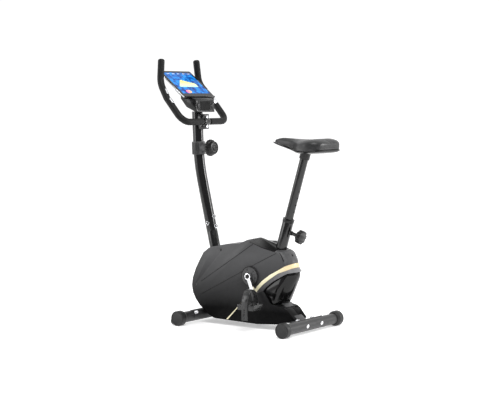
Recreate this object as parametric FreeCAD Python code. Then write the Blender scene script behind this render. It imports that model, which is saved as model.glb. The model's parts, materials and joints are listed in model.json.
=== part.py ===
import FreeCAD, Part
import math
import os

V = FreeCAD.Vector

# Upright magnetic exercise bike. Millimetres, +Z up, the rider faces -Y and sits towards +Y.
# +X is the rider's left. The origin is on the floor, at the middle of the bounding box.

CENTRE_SHIFT = 8.7             # brings the middle of the footprint to the origin

# --- feet -------------------------------------------------------------------------------
FOOT_Z = 34.0                  # height of both stabiliser axes
FRONT_FOOT_Y = -254.0
REAR_FOOT_Y = 327.0
FOOT_R = 25.0
FOOT_WALL = 2.0
FOOT_HALF = 230.0              # half width over the end caps
CAP_R = 34.6                   # a narrow flat on the floor is trimmed off each cap
CAP_SOLID = 30.0               # closed outer length of an end cap
CAP_NECK = 14.0                # tapered length that grips the tube
CAP_NECK_R = 28.0
SADDLE_T = 3.0                 # curved plates between the tubes and the stabilisers
FRONT_SADDLE_HALF = 130.0
REAR_SADDLE_HALF = 98.0
FRONT_BOLT_X = 118.0
REAR_BOLT_X = 57.0
FOOT_BOLT_TILT = 20.0          # degrees the bolts rise towards the frame
FOOT_BOLT_RISE = 9.0           # the bolts pass this far above the tube's axis
BOLT_R = 4.0
HOLE_GAP = 0.4
WHEEL_R = 17.0                 # transport wheels in the front caps
WHEEL_HALF = 6.5
WHEEL_X = 215.0
WHEEL_FORWARD = 26.0
WHEEL_Z = 20.0
WHEEL_PIN_R = 3.0

# --- welded frame -----------------------------------------------------------------------
TUBE_R = 25.0
TUBE_WALL = 2.0
FRONT_LEAN = 13.5              # degrees, top forward
JOINT_Y, JOINT_Z = -223.0, 421.0
STUB_R = 23.0
STUB_UP = 90.0
BEAM_HALF = 30.0
BEAM_Z0, BEAM_Z1 = 34.0, 62.0
BEAM_WALL = 2.5
LEG_TOP_Y, LEG_TOP_Z = 210.0, 111.0
LEG_SLOPE = 39.25              # degrees, falling to the rear
LEG_DEEP = 34.0
SEAT_LEAN = 16.7               # degrees, top rearward
SEAT_Y, SEAT_Z = 183.0, 411.0  # a point on the seat tube's axis
SEAT_TUBE_TOP = 80.0           # distance up the axis from that point
CRANK_Y, CRANK_Z = 51.0, 238.0
SHELL_R = 20.0
SHELL_HALF = 34.0
SPINDLE_R = 8.5
RUN_GAP = 0.05                 # radial running clearance of shafts

# --- handlebar post ---------------------------------------------------------------------
POST_BORE_R = 23.3
BEND_Y, BEND_Z = -299.5, 740.0
POST_TOP_Y, POST_TOP_Z = -310.0, 980.0
BEND_R = 90.0
POST_BOLT_Z = (440.0, 485.0)
SIDE_BOLT_Z = 459.0
SLEEVE_Z0, SLEEVE_Z1 = 779.0, 839.0
SLEEVE_R = 31.0
KNOB_Z = 811.0
KNOB_R = 39.0
KNOB_FACE_R = 29.0
KNOB_NECK_R = 20.0

# --- handlebar --------------------------------------------------------------------------
BAR_R = 12.5
BAR_Y, BAR_Z = -261.0, 933.0
BAR_CORNERS = (                # left half: middle, lower corner, two bends of the arm, tip
    (0.0, -261.0, 933.0), (168.0, -261.0, 933.0), (168.0, -357.0, 1043.0),
    (145.0, -413.0, 1112.0), (131.0, -418.0, 1224.0),
)
BAR_RADII = (46.0, 70.0, 90.0)
BAR_SHORT = 10.0               # the tube stops this far inside the foam's closed tip
FOAM_R = 16.0
FOAM_START = 30.0
SENSOR_PLACES = ((1, 103.0), (2, 12.0))   # corner of the bar, and distance on from it
SENSOR_LONG = 30.0
SENSOR_FACES = (-0.6, 0.8, 0.0)   # the left plates face inwards and to the rider
SENSOR_IN = 3.0
CLAMP_HALF = 18.0
CLAMP_UP = 35.0
CLAMP_BOLT_UP = 22.0

# --- console and tablet -----------------------------------------------------------------
CONSOLE_HALF = 70.5
LEDGE_HALF = 112.0
TABLET_HALF = 115.0
TABLET_LONG = 192.0
TABLET_T = 8.0
TABLET_Y, TABLET_Z = -300.0, 1049.0
TABLET_RISE = 38.5             # degrees above level, rising to the front
BUTTON_R = 8.0
BUTTON_X = 52.0
BUTTON_Z = 1007.0

# --- seat -------------------------------------------------------------------------------
SEAT_POST_R = 19.0
SEAT_POST_LOW = -30.0
SEAT_POST_TOP = 403.0
PIN_UP = 37.0                  # distance up the seat axis to the pop-pin
PIN_R = 4.0
PIN_KNOB_R = 31.0
PIN_KNOB_FAR = 95.0            # outer face of the knob from the seat axis
PIN_KNOB_T = 22.0
SEAT_SECTIONS = (              # distance back, half width, underside, top
    (131, 9, 841, 855), (137, 14, 839, 861), (150, 20, 835, 864), (200, 30, 821, 863),
    (250, 43, 807, 860), (290, 72, 798, 858), (330, 104, 797, 858), (370, 119, 798, 861),
    (405, 110, 801, 863), (424, 93, 804, 858), (433, 72, 811, 849),
)
SEAT_SQUARE = 0.48             # 1 is an oval section, 0 a square one
SEAT_SPLIT = (                 # line between the moulded base and the cushion
    (100.0, 855.0), (131.0, 846.0), (150.0, 841.0), (200.0, 828.0), (250.0, 815.0),
    (290.0, 807.5), (330.0, 806.0), (380.0, 806.5), (410.0, 809.0), (440.0, 818.0),
    (460.0, 828.0),
)
HOLE_PITCH = 32.0
HOLE_COUNT = 8

# --- housing ----------------------------------------------------------------------------
HOUSE_HALF = 76.0
WALL = 2.5
TAIL_INSET = 7.0
HOUSE_OUTLINE = (
    (-238.0, 80.0), (-262.0, 108.0), (-280.0, 137.0), (-291.0, 172.0), (-291.0, 205.0),
    (-279.0, 247.0), (-261.0, 286.0), (-240.0, 325.0), (-211.0, 346.0), (-190.0, 354.0),
    (-100.0, 373.0), (-18.0, 381.0), (28.0, 402.0), (52.0, 408.0), (96.0, 402.0),
    (150.0, 384.0), (176.0, 373.0), (176.0, 112.0), (229.0, 104.0), (276.0, 55.0),
    (268.0, 48.0), (195.0, 28.0), (88.0, 22.0), (-83.0, 25.0), (-155.0, 27.0),
    (-190.0, 43.0),
)
TAIL_SECTIONS = (              # height and rearmost reach on the centre line
    (112.0, 210.0), (133.0, 220.0), (171.0, 238.0), (209.0, 255.0), (228.0, 264.0),
    (246.0, 270.0), (264.0, 268.0), (284.0, 252.0), (312.0, 246.0), (340.0, 229.0),
    (361.0, 209.0),
)
TAIL_BULGE = 28.0
TAPER_START_Y = 90.0
TAPER = 0.145                  # the sides close in by this much per mm of length
LOW_CREASE = ((-244.0, 125.0), (189.0, 352.0), 5.0)
HIGH_CREASE = ((-241.0, 187.0), (83.0, 398.0), 13.0)
ROOF_RIDGE = ((52.0, 409.0), (176.0, 374.5), 15.0)
DISC_R = 45.0
DISC_X = 78.0
DISC_T = 5.0
ACCENT_TOP = ((77.0, 177.0), (91.0, 196.0), (114.0, 220.0), (153.0, 250.0), (192.0, 272.0),
              (228.0, 293.0), (252.0, 305.0), (300.0, 312.0))
ACCENT_LOW = ((300.0, 290.0), (252.0, 284.0), (232.0, 273.0), (192.0, 258.0), (153.0, 231.0),
              (120.0, 205.0), (98.0, 183.0), (85.0, 167.0))
TAIL_EDGE = ((117.0, 174.0), (131.0, 191.0), (165.0, 219.0), (205.0, 243.0), (234.0, 259.0),
             (300.0, 272.0), (300.0, 60.0), (205.0, 114.0), (163.0, 116.0), (150.0, 124.0))
SCREW_PLACES = ((-130.0, 344.0), (-265.0, 175.0))
SCREW_HEAD_R = 4.5

# --- crank and pedals -------------------------------------------------------------------
CRANK_LONG = 138.0
CRANK_SWING = 27.0             # degrees the left crank stands back from straight down
ARM_X0, ARM_X1 = 103.0, 115.0  # at the pedal
ARM_ROOT = 18.0                # the arm starts this much nearer the housing
ARM_WIDE = 17.0
ARM_EYE_R = 11.5               # round ends of the arm
ARM_BOSS_R = 15.0
PEDAL_X = 165.0
PEDAL_HALF_WIDE = 40.0
PEDAL_HALF_LONG = 45.0
PEDAL_HALF_TALL = 12.0
PEDAL_PIN_R = 7.0
STRAP_T = 3.0
STRAP_HALF = 16.0
STRAP_TOP = 78.0               # top of the loop above the pedal's centre
STRAP_TAIL = -58.0

# --- drive ------------------------------------------------------------------------------
PULLEY_R = 85.0
HUB_R = 18.0
BELT_GAP = 0.3
BELT_T = 2.4
BELT_X0, BELT_X1 = -46.0, -35.0
FLY_Y, FLY_Z = -130.0, 225.0
FLY_R = 105.0
FLY_X0, FLY_X1 = 30.0, 46.0
AXLE_R = 6.0
MAGNET_Y, MAGNET_Z = -97.0, 101.0
IDLER_Y, IDLER_Z = -20.0, 150.0
ROLLER_R = 11.0
PIVOT_R = 4.0
EXPORTED = []


def yz(y, z, x=0.0):
    return V(x, y, z)


def rod(p, q, r):
    axis = q - p
    return Part.makeCylinder(r, axis.Length, p, axis)


def pipe(p, q, outer, inner):
    axis = q - p
    reach = axis.normalize() * 1.0
    return rod(p, q, outer).cut(rod(p - reach, q + reach, inner))


def x_rod(y, z, r, x0, x1):
    return Part.makeCylinder(r, x1 - x0, V(x0, y, z), V(1, 0, 0))


def block(x0, x1, y0, y1, z0, z1):
    return Part.makeBox(x1 - x0, y1 - y0, z1 - z0, V(x0, y0, z0))


def prism(points, x0, x1):
    corners = [V(x0, y, z) for y, z in points]
    face = Part.Face(Part.makePolygon(corners + corners[:1]))
    return face.extrude(V(x1 - x0, 0, 0))


def union(shapes):
    result = shapes[0]
    for shape in shapes[1:]:
        result = result.fuse(shape)
    return result.removeSplitter()


def mirrored(shape):
    return shape.mirror(V(0, 0, 0), V(1, 0, 0))


def save(name, *shapes):
    shape = shapes[0] if len(shapes) == 1 else Part.makeCompound(list(shapes))
    shape = shape.copy()
    shape.translate(V(0, CENTRE_SHIFT, 0))
    shape.exportStep(os.path.join("parts", name + ".step"))
    EXPORTED.append(name)


def lean_axis(degrees):
    """Unit vector up an axis that leans towards +Y by the angle."""
    a = math.radians(degrees)
    return V(0, math.sin(a), math.cos(a))


def front_axis_at(z):
    y = JOINT_Y + (JOINT_Z - z) * math.tan(math.radians(FRONT_LEAN))
    return yz(y, z)


def seat_point(up, out=0.0):
    """A point up the seat axis, and out from it to the rear."""
    along = lean_axis(SEAT_LEAN)
    rear = V(0, along.z, -along.y)
    return yz(SEAT_Y, SEAT_Z) + along * up + rear * out


def foot_bolt_axis(foot_y, side):
    """Start, at the head, and direction of a bolt; side is +1 where the frame is behind."""
    a = math.radians(FOOT_BOLT_TILT)
    direction = V(0, side * math.cos(a), math.sin(a))
    middle = yz(foot_y, FOOT_Z + FOOT_BOLT_RISE)
    return middle, direction


def foot_bolt_places():
    places = []
    for foot_y, side, x in ((FRONT_FOOT_Y, 1, FRONT_BOLT_X), (REAR_FOOT_Y, -1, REAR_BOLT_X)):
        middle, direction = foot_bolt_axis(foot_y, side)
        places.append((middle + V(x, 0, 0), direction))
        places.append((middle - V(x, 0, 0), direction))
    return places


def foot_bolt_holes():
    return union([
        rod(middle - direction * 45, middle + direction * 45, BOLT_R + HOLE_GAP)
        for middle, direction in foot_bolt_places()
    ])


def make_feet():
    holes = foot_bolt_holes()
    end = FOOT_HALF - CAP_SOLID
    for name, y in (("front_stabiliser", FRONT_FOOT_Y), ("rear_stabiliser", REAR_FOOT_Y)):
        tube = pipe(yz(y, FOOT_Z, -end), yz(y, FOOT_Z, end), FOOT_R, FOOT_R - FOOT_WALL)
        save(name, tube.cut(holes))
    make_saddle("front_saddle", FRONT_FOOT_Y, FRONT_SADDLE_HALF, 1, holes)
    make_saddle("rear_saddle", REAR_FOOT_Y, REAR_SADDLE_HALF, -1, holes)
    front, rear = end_cap(FRONT_FOOT_Y), end_cap(REAR_FOOT_Y)
    pocket = wheel_space()
    save("rear_end_caps", rear, mirrored(rear))
    pin_hole = x_rod(wheel_y(), WHEEL_Z, WHEEL_PIN_R + HOLE_GAP / 4, 190, FOOT_HALF - 3)
    front = front.cut(pocket).cut(pin_hole)
    save("front_end_caps", front, mirrored(front))
    make_transport_wheels()


def make_saddle(name, foot_y, half, side, holes):
    """Curved plate that wraps a quarter of the stabiliser on the side of the frame."""
    ring = pipe(yz(foot_y, FOOT_Z, -half), yz(foot_y, FOOT_Z, half),
                FOOT_R + 0.1 + SADDLE_T, FOOT_R + 0.1)
    reach = side * 60.0
    wedge = [(0.0, 4.0), (reach, -18.0), (reach, 60.0), (side * 4.0, 60.0)]
    keep = prism([(foot_y + y, FOOT_Z + z) for y, z in wedge], -half, half)
    save(name, ring.common(keep).cut(holes))


def end_cap(foot_y):
    tube_end = FOOT_HALF - CAP_SOLID
    body = x_rod(foot_y, FOOT_Z, CAP_R, tube_end, FOOT_HALF)
    body = body.makeChamfer(3.0, [edge for edge in body.Edges
                                  if abs(edge.BoundBox.XMin - FOOT_HALF) < 0.1])
    neck = Part.makeCone(CAP_NECK_R, CAP_R, CAP_NECK, V(tube_end - CAP_NECK, foot_y, FOOT_Z),
                         V(1, 0, 0))
    bore = x_rod(foot_y, FOOT_Z, FOOT_R + 0.1, tube_end - CAP_NECK - 1, tube_end)
    dish = x_rod(foot_y, FOOT_Z, CAP_R - 7, FOOT_HALF - 1.5, FOOT_HALF + 1)
    floor = block(150, 250, foot_y - 50, foot_y + 50, -20, 0)
    return body.fuse(neck).removeSplitter().cut(bore).cut(dish).cut(floor)


def wheel_y():
    return FRONT_FOOT_Y - WHEEL_FORWARD


def wheel_space():
    return x_rod(wheel_y(), WHEEL_Z, WHEEL_R + 2, WHEEL_X - WHEEL_HALF - 1, WHEEL_X + WHEEL_HALF + 1)


def make_transport_wheels():
    y = wheel_y()
    wheel = x_rod(y, WHEEL_Z, WHEEL_R, WHEEL_X - WHEEL_HALF, WHEEL_X + WHEEL_HALF)
    wheel = wheel.makeChamfer(1.5, wheel.Edges[:1] + wheel.Edges[2:])
    wheel = wheel.cut(x_rod(y, WHEEL_Z, WHEEL_PIN_R + RUN_GAP, 150, 260))
    save("transport_wheel_left", wheel)
    save("transport_wheel_right", mirrored(wheel))
    pin = x_rod(y, WHEEL_Z, WHEEL_PIN_R, WHEEL_X - 14, FOOT_HALF - 3.2)
    save("transport_pins", pin, mirrored(pin))


def make_foot_fasteners():
    bolts = []
    nuts = []
    for middle, direction in foot_bolt_places():
        head_at = middle - direction * 25.0
        head = Part.makeSphere(13.0, head_at + direction * 7.0)
        head = head.common(rod(head_at - direction * 7, head_at, 9.5))
        tube = x_rod(middle.y, FOOT_Z, FOOT_R + 0.05, middle.x - 20, middle.x + 20)
        head = biggest(head.cut(tube))
        shank = rod(head_at - direction * 3, middle + direction * 37.5, BOLT_R)
        bolts.append(head.fuse(shank))
        washer_at = middle + direction * 25.3
        washer = rod(washer_at, washer_at + direction * 1.6, 9.0)
        nut = rod(washer_at + direction * 1.6, washer_at + direction * 8, 7.0)
        dome = Part.makeSphere(7.0, washer_at + direction * 8)
        body = washer.fuse(nut).fuse(dome)
        bore = rod(washer_at - direction, middle + direction * 37.6, BOLT_R + 0.02)
        nuts.append(body.cut(bore))
    save("stabiliser_bolts", *bolts)
    save("stabiliser_nuts", *nuts)


def leg_envelope(side):
    """The rear leg's outer block, shrunk on every long side by the given amount."""
    a = math.radians(LEG_SLOPE)
    along = V(0, math.cos(a), -math.sin(a))
    down = V(0, -math.sin(a), -math.cos(a))
    top = yz(LEG_TOP_Y, LEG_TOP_Z)
    corners = []
    for reach, depth in ((-190, side), (130, side), (130, LEG_DEEP - side),
                         (-190, LEG_DEEP - side)):
        corner = top + along * reach + down * depth
        corners.append((corner.y, corner.z))
    return prism(corners, -BEAM_HALF + side, BEAM_HALF - side)


def frame_cutters():
    shell = x_rod(CRANK_Y, CRANK_Z, SHELL_R, -SHELL_HALF - 10, SHELL_HALF + 10)
    front_foot = x_rod(FRONT_FOOT_Y, FOOT_Z, FOOT_R + 0.1 + SADDLE_T, -200, 200)
    rear_foot = x_rod(REAR_FOOT_Y, FOOT_Z, FOOT_R + 0.1 + SADDLE_T, -200, 200)
    return shell, front_foot, rear_foot


def half_space_y(y, keep_rear):
    return block(-200, 200, y, y + 900, -100, 900) if keep_rear else (
        block(-200, 200, y - 900, y, -100, 900))


def make_frame():
    shell_space, front_foot, rear_foot = frame_cutters()
    leg_outer = leg_envelope(0.0)
    leg = leg_outer.cut(leg_envelope(BEAM_WALL)).cut(shell_space).cut(rear_foot)
    leg = leg.common(half_space_y(CRANK_Y + 8, True)).common(half_space_y(REAR_FOOT_Y, False))
    leg = leg.common(block(-50, 50, -400, 400, 30.0, 400))
    beam_end = 245.0
    beam = block(-BEAM_HALF, BEAM_HALF, FRONT_FOOT_Y, beam_end, BEAM_Z0, BEAM_Z1)
    hollow = block(-BEAM_HALF + BEAM_WALL, BEAM_HALF - BEAM_WALL, FRONT_FOOT_Y - 1,
                   beam_end + 1, BEAM_Z0 + BEAM_WALL, BEAM_Z1 - BEAM_WALL)
    beam = beam.cut(hollow).cut(leg_outer).cut(front_foot)
    save("lower_beam", union([biggest(beam)] + beam_lugs()))
    seat_tube = make_seat_tube(leg_outer)
    save("rear_leg", biggest(leg))
    save("seat_tube", seat_tube)
    shell = pipe(yz(CRANK_Y, CRANK_Z, -SHELL_HALF), yz(CRANK_Y, CRANK_Z, SHELL_HALF),
                 SHELL_R, SPINDLE_R + RUN_GAP)
    save("bottom_bracket_shell", shell)
    make_front_tube()


def beam_lugs():
    """Upright plates welded on the beam, with the pivots of the brake arm and the idler."""
    brake = block(24, 28, MAGNET_Y - 14, MAGNET_Y + 14, BEAM_Z1 - 1, MAGNET_Z + 12)
    brake_pin = x_rod(MAGNET_Y, MAGNET_Z, PIVOT_R, 26, 50)
    idler = block(-29, -25, IDLER_Y - 14, IDLER_Y + 14, BEAM_Z1 - 1, IDLER_Z + 12)
    idler_pin = x_rod(IDLER_Y, IDLER_Z, PIVOT_R, -35, -27)
    return [brake, brake_pin, idler, idler_pin]


def biggest(shape):
    return max(shape.Solids, key=lambda solid: solid.Volume)


def make_seat_tube(leg_outer):
    tube = pipe(seat_point(-290), seat_point(SEAT_TUBE_TOP), TUBE_R, TUBE_R - TUBE_WALL)
    tube = biggest(tube.cut(leg_outer))
    nut = rod(seat_point(PIN_UP, TUBE_R - 1.5), seat_point(PIN_UP, TUBE_R + 12), 10.0)
    nut = nut.cut(rod(seat_point(-300), seat_point(300), TUBE_R - TUBE_WALL / 2))
    hole = rod(seat_point(PIN_UP, 0), seat_point(PIN_UP, 60), PIN_R + RUN_GAP)
    return tube.fuse(nut).removeSplitter().cut(hole)


def make_front_tube():
    low = front_axis_at(20.0)
    joint = front_axis_at(JOINT_Z)
    up = lean_axis(-FRONT_LEAN)
    tube = pipe(low, joint, TUBE_R, TUBE_R - TUBE_WALL)
    stub = pipe(joint - up * 60, joint + up * STUB_UP, STUB_R, STUB_R - 2.5)
    tube = tube.fuse(stub).removeSplitter()
    tube = tube.cut(block(-60, 60, -400, 0, -50, BEAM_Z1))
    save("front_frame_tube", tube.cut(post_bolt_holes(BOLT_R + 0.1)))


def post_bolt_places():
    """Bolt seats on the post: axis point, outward direction."""
    places = []
    rear = V(0, math.cos(math.radians(FRONT_LEAN)), math.sin(math.radians(FRONT_LEAN)))
    for z in POST_BOLT_Z:
        places.append((front_axis_at(z), rear))
    places.append((front_axis_at(SIDE_BOLT_Z), V(1, 0, 0)))
    return places


def post_bolt_holes(r):
    return union([rod(p, p + out * 40, r) for p, out in post_bolt_places()])


def post_path():
    """The post's centre line: two straights and the bend between them."""
    start = front_axis_at(JOINT_Z) + lean_axis(-FRONT_LEAN) * 0.3
    bend = yz(BEND_Y, BEND_Z)
    end = yz(POST_TOP_Y, POST_TOP_Z)
    back = (start - bend).normalize()
    on = (end - bend).normalize()
    run = BEND_R
    first, last = bend + back * run, bend + on * run
    middle = (first + last) * 0.25 + bend * 0.5
    return start, first, middle, last, end


def post_solid(r):
    start, first, middle, last, end = post_path()
    arc = Part.Arc(first, middle, last).toShape()
    path = Part.Wire([Part.makeLine(start, first), arc, Part.makeLine(last, end)])
    ring = Part.Wire([Part.makeCircle(r, start, first - start)])
    return path.makePipeShell([ring], True, True)


def upper_post_at(z):
    share = (z - BEND_Z) / (POST_TOP_Z - BEND_Z)
    return yz(BEND_Y + share * (POST_TOP_Y - BEND_Y), z)


def make_post():
    post = post_solid(TUBE_R).cut(post_solid(POST_BORE_R))
    post = post.cut(post_bolt_holes(BOLT_R + 0.1))
    save("handlebar_post", post)
    bolts = []
    for place, out in post_bolt_places():
        washer = rod(place + out * (TUBE_R - 3), place + out * (TUBE_R + 2.2), 9.0)
        washer = washer.cut(rod(front_axis_at(300), front_axis_at(600), TUBE_R + 0.05))
        shank = rod(place + out * 15, place + out * (TUBE_R + 4), BOLT_R)
        head = rod(place + out * (TUBE_R + 2), place + out * (TUBE_R + 7), 6.5)
        bolts.append(union([washer, shank, head]))
    save("post_bolts", *bolts)
    make_sleeve_and_knob()
    make_clamp()


def make_sleeve_and_knob():
    low, high = upper_post_at(SLEEVE_Z0), upper_post_at(SLEEVE_Z1)
    knob_axis = upper_post_at(KNOB_Z)
    rear = V(0, 1, 0)
    neck = rod(knob_axis, knob_axis + rear * 61, KNOB_NECK_R)
    spindle = rod(knob_axis + rear * 60, knob_axis + rear * 78, 6.0)
    sleeve = union([rod(low, high, SLEEVE_R), neck, spindle])
    save("post_sleeve", biggest(sleeve.cut(post_solid(TUBE_R + 0.1))))
    start = knob_axis + rear * 61.4
    skirt = Part.makeCylinder(KNOB_R, 14, start, rear)
    nose = Part.makeCone(KNOB_R, KNOB_FACE_R, 21, start + rear * 14, rear)
    knob = skirt.fuse(nose).removeSplitter()
    knob = knob.cut(rod(start - rear, start + rear * 17, 6.0 + RUN_GAP))
    save("tension_knob", knob)


def make_clamp():
    """Welded U bracket behind the post, and the cap plate with two bolts."""
    post_face = upper_post_at(BAR_Z).y + TUBE_R
    body = block(-CLAMP_HALF, CLAMP_HALF, post_face - 12, BAR_Y - 0.5,
                 BAR_Z - CLAMP_UP, BAR_Z + CLAMP_UP)
    post = rod(upper_post_at(700), upper_post_at(1100), TUBE_R + 0.05)
    bar = x_rod(BAR_Y, BAR_Z, BAR_R + 0.3, -60, 60)
    body = body.cut(post).cut(bar)
    cap = block(-CLAMP_HALF, CLAMP_HALF, BAR_Y + 0.5, BAR_Y + 6, BAR_Z - CLAMP_UP,
                BAR_Z + CLAMP_UP)
    saddle = x_rod(BAR_Y, BAR_Z, BAR_R + 4, -CLAMP_HALF, CLAMP_HALF)
    saddle = saddle.common(block(-50, 50, BAR_Y + 0.5, BAR_Y + 40, 0, 2000))
    cap = cap.fuse(saddle).removeSplitter().cut(bar)
    bolts = []
    for up in (-CLAMP_BOLT_UP, CLAMP_BOLT_UP):
        start = yz(BAR_Y - 10, BAR_Z + up)
        hole = rod(start, start + V(0, 40, 0), BOLT_R + 0.1)
        body = body.cut(hole)
        cap = cap.cut(hole)
        shank = rod(start + V(0, 0.5, 0), start + V(0, 16.2, 0), BOLT_R)
        head = rod(start + V(0, 16.2, 0), start + V(0, 22, 0), 7.0)
        bolts.append(shank.fuse(head))
    save("clamp_bracket", body)
    save("clamp_cap", cap)
    save("clamp_bolts", *bolts)


def rounded_path(corners, radii):
    """Straight runs joined by tangent arcs of the given radii."""
    edges = []
    at = corners[0]
    for n, radius in enumerate(radii):
        corner, before, after = corners[n + 1], corners[n], corners[n + 2]
        back = (before - corner).normalize()
        on = (after - corner).normalize()
        turn = math.pi - back.getAngle(on)
        reach = radius * math.tan(turn / 2)
        start, end = corner + back * reach, corner + on * reach
        inward = (back + on).normalize()
        centre = corner + inward * (radius / math.cos(turn / 2))
        edges.append(Part.makeLine(at, start))
        edges.append(Part.Arc(start, centre - inward * radius, end).toShape())
        at = end
    edges.append(Part.makeLine(at, corners[-1]))
    return Part.Wire(edges)


def bar_solid(r, from_x, short):
    """Left half of the bar, from a distance off the middle to a little short of the tip."""
    corners = [V(*p) for p in BAR_CORNERS]
    corners[0] = V(from_x, BAR_Y, BAR_Z)
    heading = (corners[-1] - corners[-2]).normalize()
    corners[-1] = corners[-1] - heading * short
    ring = Part.Wire([Part.makeCircle(r, corners[0], V(1, 0, 0))])
    return rounded_path(corners, BAR_RADII).makePipeShell([ring], True, False)


def make_handlebar():
    half = bar_solid(BAR_R, 0.0, BAR_SHORT)
    save("handlebar", union([half, mirrored(half)]))
    foam = bar_solid(FOAM_R, FOAM_START, 0.0)
    tip = [edge for edge in foam.Edges if edge.BoundBox.ZMin > 1200 and edge.isClosed()]
    foam = foam.makeFillet(10.0, tip[:1])
    foam = foam.cut(bar_solid(BAR_R + 0.05, 0.0, BAR_SHORT))
    sensors = sensor_plates()
    for sensor in sensors:
        foam = foam.cut(sensor)
    foam = biggest(foam)
    save("foam_grips", foam, mirrored(foam))
    save("pulse_sensors", *sensors, *[mirrored(s) for s in sensors])


def sensor_plates():
    """Two curved metal plates on the inner face of each grip, one above the other."""
    plates = []
    for corner, start in SENSOR_PLACES:
        low, high = V(*BAR_CORNERS[corner]), V(*BAR_CORNERS[corner + 1])
        along = (high - low).normalize()
        p = low + along * start
        q = p + along * SENSOR_LONG
        ring = pipe(p, q, FOAM_R + 1.6, FOAM_R - 1.2)
        inward = V(*SENSOR_FACES) - along * along.dot(V(*SENSOR_FACES))
        inward.normalize()
        far = (p + q) * 0.5 + inward * (40 + SENSOR_IN)
        side = Part.makeCylinder(40.0, 80.0, far - along * 40, along)
        plates.append(biggest(ring.common(side)))
    return plates


def make_seat():
    along = lean_axis(SEAT_LEAN)
    rear = V(0, along.z, -along.y)
    post = pipe(seat_point(SEAT_POST_LOW), seat_point(SEAT_POST_TOP), SEAT_POST_R,
                SEAT_POST_R - 2.0)
    for n in range(HOLE_COUNT):
        up = PIN_UP + (n - 1) * HOLE_PITCH
        post = post.cut(rod(seat_point(up, 5), seat_point(up, 30), PIN_R + 0.5))
    save("seat_post", post)
    low, high = seat_point(SEAT_TUBE_TOP - 95), seat_point(SEAT_TUBE_TOP + 14)
    collar = pipe(low, high, TUBE_R - TUBE_WALL - 0.05, SEAT_POST_R + RUN_GAP)
    lip = pipe(seat_point(SEAT_TUBE_TOP), high, TUBE_R + 1.5, SEAT_POST_R + RUN_GAP)
    collar = collar.fuse(lip).removeSplitter()
    collar = collar.cut(rod(seat_point(PIN_UP), seat_point(PIN_UP, 60), PIN_R + RUN_GAP))
    save("seat_collar", collar)
    pin = rod(seat_point(PIN_UP, SEAT_POST_R + 0.4), seat_point(PIN_UP, PIN_KNOB_FAR - 4), PIN_R)
    collar_ring = rod(seat_point(PIN_UP, TUBE_R + 12.3), seat_point(PIN_UP, PIN_KNOB_FAR - 20), 8.0)
    knob = rod(seat_point(PIN_UP, PIN_KNOB_FAR - PIN_KNOB_T), seat_point(PIN_UP, PIN_KNOB_FAR),
               PIN_KNOB_R)
    for n in range(8):
        a = math.radians(22.5 + 45 * n)
        notch = V(math.cos(a), 0, 0) + along * math.sin(a)
        place = seat_point(PIN_UP, PIN_KNOB_FAR - PIN_KNOB_T - 1) + notch * (PIN_KNOB_R + 5)
        knob = knob.cut(rod(place, place + rear * (PIN_KNOB_T + 2), 8.5))
    save("pop_pin_knob", union([pin, collar_ring, knob]))
    make_saddle_top()


def make_saddle_top():
    """Moulded base and padded top of the seat, cut from one lofted body."""
    body = seat_loft(SEAT_SECTIONS)
    split = prism(SEAT_SPLIT + ((460.0, 700.0), (100.0, 700.0)), -200, 200)
    base = body.common(split)
    cushion = body.cut(split)
    top = seat_point(SEAT_POST_TOP)
    space = rod(seat_point(250), top + lean_axis(SEAT_LEAN) * 0.2, SEAT_POST_R + 0.02)
    clamp = pipe(seat_point(SEAT_POST_TOP - 25), seat_point(SEAT_POST_TOP + 12),
                 SEAT_POST_R + 4.5, SEAT_POST_R + 0.02)
    clamp = biggest(clamp.cut(split_above()))
    base = base.fuse(clamp).removeSplitter().cut(space)
    save("seat_base", biggest(base))
    save("seat_cushion", biggest(cushion))


def split_above():
    return block(-200, 200, 0, 600, 805, 1200)


def seat_loft(sections):
    wires = []
    for y, half, low, high in sections:
        points = []
        middle = (low + high) / 2
        tall = (high - low) / 2
        for n in range(24):
            a = 2 * math.pi * n / 24
            c, s = math.cos(a), math.sin(a)
            x = half * math.copysign(abs(c) ** SEAT_SQUARE, c)
            z = middle + tall * math.copysign(abs(s) ** SEAT_SQUARE, s)
            points.append(V(x, y, z))
        curve = Part.BSplineCurve()
        curve.interpolate(points, PeriodicFlag=True)
        wires.append(Part.Wire([curve.toShape()]))
    return Part.makeLoft(wires, True, False)


def make_console():
    """Computer under the tablet, with its ledge, screen window and two buttons."""
    profile = ((-262.0, 977.0), (-264.0, 1036.0), (-289.0, 1044.0), (-330.0, 1066.0),
               (-352.0, 1056.0), (-352.0, 1040.0), (-318.0, 1001.0))
    body = prism(profile, -CONSOLE_HALF, CONSOLE_HALF)
    tray = ledge_tray()
    post = rod(upper_post_at(900), upper_post_at(POST_TOP_Z), TUBE_R + 0.05)
    body = body.fuse(tray).removeSplitter().cut(post)
    body = body.cut(slab(TABLET_HALF + 2, -3.3, TABLET_LONG, -4.3, 40))
    window = block(-38, 38, -266, -200, 987, 1027)
    body = body.cut(window)
    for x in (-BUTTON_X, BUTTON_X):
        body = body.cut(rod(V(x, -272, BUTTON_Z), V(x, -250, BUTTON_Z), BUTTON_R + 0.3))
    save("console_body", biggest(body))
    save("console_lens", block(-37.8, 37.8, -266, -263.6, 987.2, 1026.8))
    button = rod(V(BUTTON_X, -268.5, BUTTON_Z), V(BUTTON_X, -260.5, BUTTON_Z), BUTTON_R)
    save("console_button_left", button)
    save("console_button_right", mirrored(button))
    make_tablet()


def tablet_frame():
    a = math.radians(TABLET_RISE)
    up = V(0, -math.cos(a), math.sin(a))
    normal = V(0, math.sin(a), math.cos(a))
    return yz(TABLET_Y, TABLET_Z), up, normal


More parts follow.
